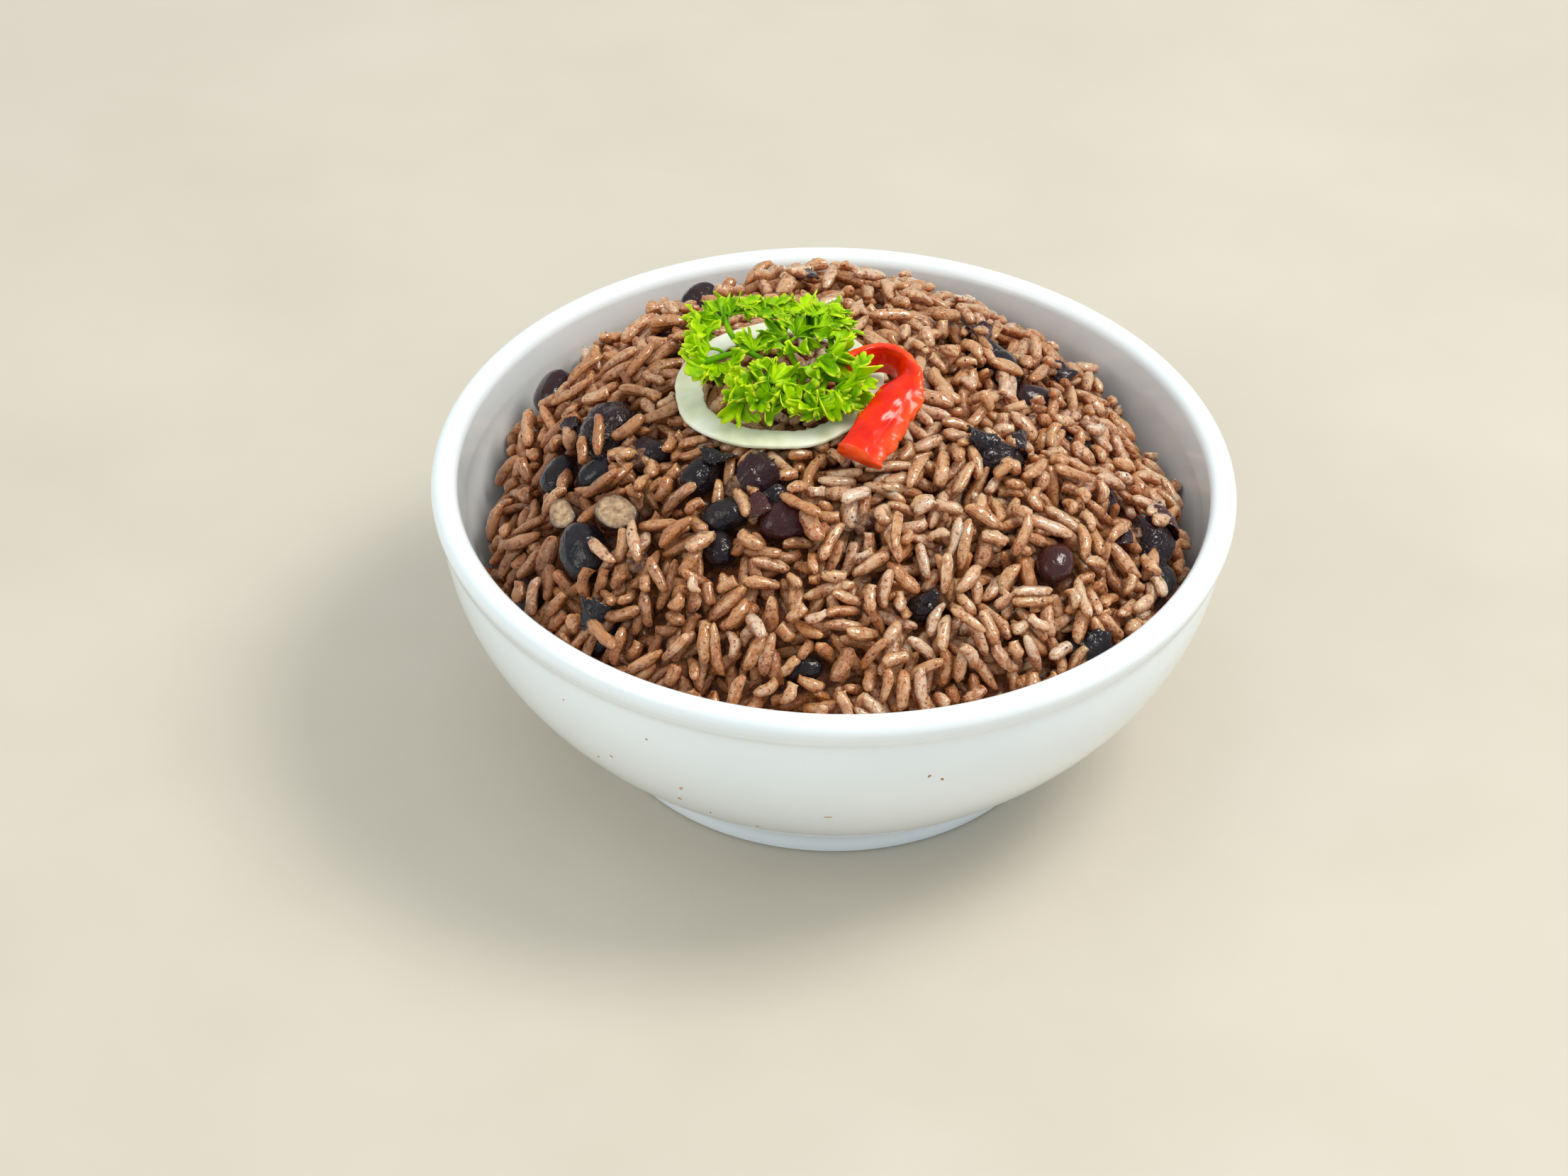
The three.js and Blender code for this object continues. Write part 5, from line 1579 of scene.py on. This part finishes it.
def leaflet_arrays(middle, heading, length, source):
    """A fan of lobes with small teeth. Its margin is too long to lie flat, so it ruffles and curls."""
    columns, rows, lobes = PARSLEY["columns"], PARSLEY["rows"], PARSLEY["lobes"]
    sweep = np.linspace(-1, 1, columns + 1)[None, :]
    row = (np.linspace(0.05, 1, rows) ** 0.85)[:, None]
    lobe = (sweep + 1) / 2 * lobes
    within = np.clip(lobe % 1, 0.001, 0.999)
    tooth = 1 - np.abs(2 * (PARSLEY["teeth"] * lobe % 1) - 1)

    def any_phase():
        return source.uniform(0, ANY_PHASE)

    # narrow cuts between the lobes, whose lengths vary, and teeth on every lobe
    full = 1 - PARSLEY["cut"] * (1 - np.minimum(1, 1.7 * np.sin(math.pi * within)))
    uneven = 1 + 0.14 * np.sin(2.3 * lobe + any_phase()) - 0.18 * sweep ** 2
    edge = full * uneven * (1 - PARSLEY["tooth"] + 2 * PARSLEY["tooth"] * tooth)
    reach = length * row * (1 + (edge - 1) * row ** 2)
    angle = sweep * math.radians(PARSLEY["spread"]) * (0.5 + 0.5 * row)
    # each lobe folds up and down, and the margin swings more than the middle
    waves = TURN * lobe * 0.62 + any_phase()
    swing = np.sin(waves + 1.1 * np.sin(0.9 * lobe + any_phase()))
    swing = swing + 0.45 * np.sin(2.1 * waves + any_phase())
    lift = PARSLEY["ruffle"] * length * row ** 1.6 * swing
    lift = lift + source.uniform(-0.05, 0.3) * length * row ** 2
    angle = angle + 0.20 * row ** 2 * np.cos(waves + 0.6)
    curl = np.sin(1.7 * waves + any_phase()) * row ** 5
    reach = reach - 0.10 * length * np.maximum(curl, 0)
    lift = lift + 0.12 * length * curl
    turn, rise = math.radians(heading), math.radians(source.uniform(-8, 22))
    along = np.array([math.cos(turn) * math.cos(rise), math.sin(turn) * math.cos(rise), math.sin(rise)])
    # leaflets lean towards the light from every side
    up = np.array([0.1, -0.40, 1.0]) + source.normal(0, 0.42, 3)
    up -= along * (up @ along)
    up /= np.linalg.norm(up)
    across = np.cross(up, along)
    base = np.array(middle) - 0.5 * length * along
    points = base + (reach * np.cos(angle))[..., None] * along
    points = points + (reach * np.sin(angle))[..., None] * across
    points = points + lift[..., None] * up
    tip = row ** 5 * (0.2 + 0.8 * tooth)
    vein = np.clip(1 - np.abs(within - 0.5) * 7, 0, 1) * (1 - row ** 3)
    return points.reshape(-1, 3), tip.ravel(), vein.ravel(), base


def soft_limit(values, limit, ease, up):
    """Keeps values above a limit (up) or below it, easing over the last bit."""
    sign = 1.0 if up else -1.0
    over = sign * (values - limit)
    return limit + sign * np.where(over > ease, over, ease * np.exp(np.minimum(over, ease) / ease - 1))


def leaves_mesh():
    """All leaflets as one sheet each, and where their stalks end."""
    source = random_from("parsley")
    leaflets, tips, veins, tones, bases = [], [], [], [], []
    for x, y, z, heading, length in PARSLEY["leaflets"]:
        askew = heading + source.uniform(-12, 12)
        place, tip, vein, base = leaflet_arrays((x, y, z), askew, length, source)
        leaflets.append(place)
        tips.append(tip)
        veins.append(vein)
        tones.append(np.full(len(place), source.uniform(0, 1)))
        bases.append(base)
    points = np.vstack(leaflets)
    lowest = mound_height(points[:, 0], points[:, 1]) + PARSLEY["lowest_over_mound"]
    points[:, 2] = soft_limit(points[:, 2], lowest, PARSLEY["lowest_ease"], up=True)
    points[:, 2] = soft_limit(points[:, 2], PARSLEY["highest"], PARSLEY["highest_ease"], up=False)
    faces = for_each(grid_faces(PARSLEY["rows"], PARSLEY["columns"] + 1), leaflets)
    tip, vein, tone = (np.concatenate(values) for values in (tips, veins, tones))
    return build_mesh("thin_leaves", points, faces, tip=tip, vein=vein, tone=tone), bases


def stem_tree():
    """Geometry Nodes: tubes along the paths it is given, thinner towards their far ends."""
    tree = new_shape_tree("stem tubes", {"Stem Radius": "Float", "Sides": "Int", "Material": "Material"})
    given = add_node(tree, "NodeGroupInput").outputs
    share = add_node(tree, "GeometryNodeSplineParameter").outputs["Factor"]
    taper = add_node(tree, "ShaderNodeMapRange", {"Value": share, "To Min": 1.0, "To Max": 0.6})
    ring = add_node(tree, "GeometryNodeCurvePrimitiveCircle", {
        "Resolution": given["Sides"], "Radius": given["Stem Radius"],
    })
    curves = add_node(tree, "GeometryNodeMeshToCurve", {"Mesh": given["Geometry"]})
    sized = add_node(tree, "GeometryNodeSetCurveRadius", {"Curve": curves, "Radius": taper})
    tubes = add_node(tree, "GeometryNodeCurveToMesh", {
        "Curve": sized, "Profile Curve": ring, "Fill Caps": True,
    })
    whole = add_node(tree, "GeometryNodeRealizeInstances", {"Geometry": tubes})
    dressed = add_node(tree, "GeometryNodeSetMaterial", {"Geometry": whole, "Material": given["Material"]})
    smooth = add_node(tree, "GeometryNodeSetShadeSmooth", {"Geometry": dressed})
    add_node(tree, "NodeGroupOutput", {"Geometry": smooth})
    return tree


def stalk_paths(bases):
    """A short bowed stalk from the nearest corner of a stem to each leaflet."""
    corners = np.array([corner for path in PARSLEY["stems"] for corner in path])
    for base in bases:
        root = corners[np.linalg.norm(corners - base, axis=1).argmin()]
        middle = (root + base) / 2 + np.array([0, 0, 0.4])
        yield [root, middle, base + (base - middle) * 0.2]


def tubes_mesh(name, tree, paths, radius, material):
    """Tubes along smooth paths, as one mesh."""
    points, edges = [], []
    for path in paths:
        place, _ = smooth_path(path, 14)
        first = len(points)
        edges += [(first + i, first + i + 1) for i in range(len(place) - 1)]
        points += [tuple(p * MM) for p in place]
    lines = bpy.data.meshes.new(name + "_lines")
    lines.from_pydata(points, edges, [])
    values = {"Stem Radius": radius * MM, "Sides": 8, "Material": material}
    return shape_with(tree, lines, name, values)


# ---------------------------------------------------------------------------
# Specks on the grains
# ---------------------------------------------------------------------------

SPECKS = dict(per_square_metre=42000.0, smallest=0.12, largest=0.34, proportions=(1.0, 0.6, 0.35))


def speck_tree():
    """Geometry Nodes: small flat grits spread over the grains that show."""
    tree = new_shape_tree("specks on grains", {
        "Density": "Float", "Smallest": "Float", "Largest": "Float", "Seed": "Int", "Material": "Material",
    })
    given = add_node(tree, "NodeGroupInput").outputs
    shown = add_node(tree, "GeometryNodeInputNamedAttribute", {"Name": "shown"}, data_type="FLOAT")
    points = add_node(tree, "GeometryNodeDistributePointsOnFaces", {
        "Mesh": given["Geometry"], "Density": given["Density"], "Seed": given["Seed"],
        "Selection": shown.outputs["Attribute"],
    })
    grit = add_node(tree, "GeometryNodeMeshIcoSphere", {"Radius": 1.0, "Subdivisions": 1})
    size = add_node(tree, "FunctionNodeRandomValue", {
        2: given["Smallest"], 3: given["Largest"], "Seed": given["Seed"],
    }, data_type="FLOAT")
    scale = add_node(tree, "ShaderNodeVectorMath", {
        0: SPECKS["proportions"], "Scale": size.outputs[1],
    }, operation="SCALE")
    turn = add_node(tree, "FunctionNodeRandomValue", {
        2: 0.0, 3: TURN, "Seed": given["Seed"],
    }, data_type="FLOAT")
    spin = add_node(tree, "ShaderNodeCombineXYZ", {"Z": turn.outputs[1]})
    lying = add_node(tree, "FunctionNodeRotateRotation", {
        "Rotation": points.outputs["Rotation"], "Rotate By": spin,
    }, rotation_space="LOCAL")
    spread = add_node(tree, "GeometryNodeInstanceOnPoints", {
        "Points": points, "Instance": grit, "Rotation": lying, "Scale": scale,
    })
    whole = add_node(tree, "GeometryNodeRealizeInstances", {"Geometry": spread})
    dressed = add_node(tree, "GeometryNodeSetMaterial", {"Geometry": whole, "Material": given["Material"]})
    add_node(tree, "NodeGroupOutput", {"Geometry": dressed})
    return tree


def specks_mesh(rice_pieces, material):
    """Specks on all pieces of rice, as one mesh."""
    work = bmesh.new()
    for piece in rice_pieces:
        work.from_mesh(piece.data)
    carrier_mesh = bpy.data.meshes.new("speck_carrier")
    work.to_mesh(carrier_mesh)
    work.free()
    values = {
        "Density": SPECKS["per_square_metre"], "Smallest": SPECKS["smallest"] * MM,
        "Largest": SPECKS["largest"] * MM, "Seed": SEED, "Material": material,
    }
    return shape_with(speck_tree(), carrier_mesh, "specks", values)


# ---------------------------------------------------------------------------
# Stage: floor, lights and camera
# ---------------------------------------------------------------------------

FRAME_SIZE = (2212, 1659)
# a long lens that looks down from the front, and where the middle of the rim stands in the frame
CAMERA = dict(
    pitch=38.04, roll=1.36, distance=892.5, focal_pixels=7250.0, sensor=36.0,
    rim_centre_pixel=(1177.0, 662.3),
)
FLOOR_EDGE = 4000.0  # half of the floor's width
# lights: direction from the food, distance, width in metres, watts and colour
LIGHTS = dict(
    key=((0.52, 0.02, 0.84), 0.9, 0.36, 5.0, "#fdf9f1"),
    fill=((-0.75, -0.45, 0.60), 1.2, 0.6, 2.2, "#fbf6e6"),
)
LIT_HEIGHT = 0.05  # lights look at a place this many metres over the floor
# the room's light, and how bright wet surfaces mirror it
ROOM_LIGHT = 1.08
MIRRORED_ROOM = 0.32


def make_camera():
    pitch, roll = math.radians(CAMERA["pitch"]), math.radians(CAMERA["roll"])
    back = Vector((0, -math.cos(pitch), math.sin(pitch)))
    level = Vector((1, 0, 0))
    right = level * math.cos(roll) + back.cross(level) * math.sin(roll)
    up = back.cross(right)
    distance, focal_pixels = CAMERA["distance"], CAMERA["focal_pixels"]
    pixel_x, pixel_y = CAMERA["rim_centre_pixel"]
    shift_right = (pixel_x - FRAME_SIZE[0] / 2) / focal_pixels * distance
    shift_up = -(pixel_y - FRAME_SIZE[1] / 2) / focal_pixels * distance
    place = Vector((0, 0, BOWL["height"])) - right * shift_right - up * shift_up + back * distance
    data = bpy.data.cameras.new("camera")
    data.sensor_width = CAMERA["sensor"]
    data.lens = CAMERA["sensor"] * focal_pixels / FRAME_SIZE[0]
    data.clip_start = 0.05
    data.clip_end = 20.0
    camera = bpy.data.objects.new("camera", data)
    camera.matrix_world = Matrix.Translation(place * MM) @ Matrix((right, up, back)).transposed().to_4x4()
    bpy.context.scene.collection.objects.link(camera)
    bpy.context.scene.camera = camera


def add_light(name, direction, distance, size, watts, tint):
    """A square soft light that looks at the food from a direction."""
    data = bpy.data.lights.new(name, "AREA")
    data.shape = "SQUARE"
    data.size = size
    data.energy = watts
    data.color = colour(tint)[:3]
    light = bpy.data.objects.new(name, data)
    towards = Vector(direction).normalized()
    light.location = towards * distance + Vector((0, 0, LIT_HEIGHT))
    light.rotation_mode = "QUATERNION"
    light.rotation_quaternion = towards.to_track_quat("Z", "Y")
    bpy.context.scene.collection.objects.link(light)


def make_room():
    """The light of a plain white room with a faintly blue lower part."""
    world = bpy.data.worlds.new("studio")
    bpy.context.scene.world = world
    world.use_nodes = True
    tree = world.node_tree
    direction = add_node(tree, "ShaderNodeTexCoord").outputs["Generated"]
    upward = add_node(tree, "ShaderNodeSeparateXYZ", {0: direction}).outputs["Z"]
    # the ceiling is a warmer white than the walls
    height = add_node(tree, "ShaderNodeMapRange", {"Value": upward, "From Min": 0.2, "From Max": 0.8})
    shade = add_node(tree, "ShaderNodeValToRGB", {"Fac": height}, stops=[(0, "#ddedfd"), (1, "#ebf2f3")])
    # wet surfaces mirror a room that is darker than the light it gives
    mirrored = add_node(tree, "ShaderNodeLightPath").outputs["Is Glossy Ray"]
    strength = add_node(tree, "ShaderNodeMapRange", {
        "Value": mirrored, "To Min": ROOM_LIGHT, "To Max": MIRRORED_ROOM,
    })
    set_inputs(tree, tree.nodes["Background"], {"Color": shade, "Strength": strength})


def make_stage():
    corners = [(-1, -1, 0), (1, -1, 0), (1, 1, 0), (-1, 1, 0)]
    mesh = build_mesh("floor", np.array(corners) * FLOOR_EDGE, [(0, 1, 2, 3)])
    floor = add_object(mesh, floor_material())
    bpy.context.scene.view_settings.view_transform = "Standard"
    bpy.context.scene.view_settings.look = "None"
    make_room()
    for name, settings in LIGHTS.items():
        add_light(name, *settings)


# ---------------------------------------------------------------------------
# Making the pieces
# ---------------------------------------------------------------------------

# grains laid one by one on and beside beans: kind, x, y, heading in degrees, length
LAID_GRAINS = [
    ("rice_long", -40.8, -5.0, 93, 8.4), ("rice_broken", -43.6, -6.8, 88, 5.2),
    ("rice_long", -39.9, -17.3, -13, 9.2), ("rice_long", -38.8, -31.2, -62, 9.0),
    ("rice_long", -5.9, -31.6, -43, 9.4), ("rice_broken", -6.6, -27.4, 47, 4.8),
    ("rice_long", -38.6, -45.2, -59, 9.0), ("rice_broken", -8.5, -22.5, 20, 4.0),
    ("rice_long", 55.5, -9.0, 70, 8.0), ("rice_broken", 56.5, -13.0, 50, 5.0),
    ("rice_long", 10.2, -35.0, -92, 8.6),
]


def all_grains(heap):
    """Every grain of the heap: those dropped in passes, the steep ones and the listed ones."""
    source = random_from("heap")
    grains = []
    for number, rules in enumerate(PASSES):
        if number == len(PASSES) - 1:
            # no grain stands up under the toppings
            heap.keep_free(*TOPPING_MIDDLE, TOPPING_REACH + 2)
        grains += drop_grains(heap, source, **rules)
        if number == STEEP_PASS:
            grains += stand_grains(heap, source)
    return grains + [lay_grain(heap, source, *laid) for laid in LAID_GRAINS]


def make_heap():
    heap = Heap()
    black = bean_skin_material()
    beans = add_object(beans_mesh(heap), black)
    halves = add_object(split_beans_mesh(heap), bean_flesh_material())
    grains = all_grains(heap)
    cooked = rice_material()
    rice = []
    for kind in RICE:
        chosen = [grain for grain in grains if grain["kind"] == kind]
        rice.append(add_object(rice_mesh(kind, chosen, heap), cooked))
    skins = add_object(thicken(skins_mesh(), "bean_skins", SKIN_THICKNESS, -1.0), black)
    mash = add_object(mash_mesh(), mash_material())
    spice = speck_material()
    specks = add_object(specks_mesh(rice, spice), spice)
    core = add_object(core_mesh(), core_material())
    for piece in (*rice, beans, halves, skins, mash, specks, core):
        place_piece(piece, "rice_and_beans", "rice_and_beans")


def make_toppings():
    onion = add_object(onion_mesh(), onion_material())
    place_piece(onion, "onion", "onion_ring")
    pepper = add_object(pepper_mesh(), pepper_material())
    place_piece(pepper, "pepper", "pepper_strip")
    green = parsley_material()
    sheets, bases = leaves_mesh()
    leaves = thicken(sheets, "parsley_leaves", PARSLEY["leaf_thickness"], 0.0)
    tree = stem_tree()
    stems = tubes_mesh("parsley_stems", tree, PARSLEY["stems"], PARSLEY["stem_radius"], green)
    stalks = tubes_mesh("parsley_stalks", tree, stalk_paths(bases), PARSLEY["twig_radius"], green)
    for mesh in (leaves, stems, stalks):
        place_piece(add_object(mesh, green), "parsley", "parsley_sprig")


def make_bowl():
    bowl = add_object(lathe("glazed_bowl", bowl_profile(), BOWL["columns"]), glaze_material())
    place_piece(bowl, "glaze", "bowl")
    crumbs = add_object(crumbs_mesh(), crumb_material())
    place_piece(crumbs, "rice_and_beans")


make_camera()
make_stage()
make_bowl()
make_heap()
make_toppings()
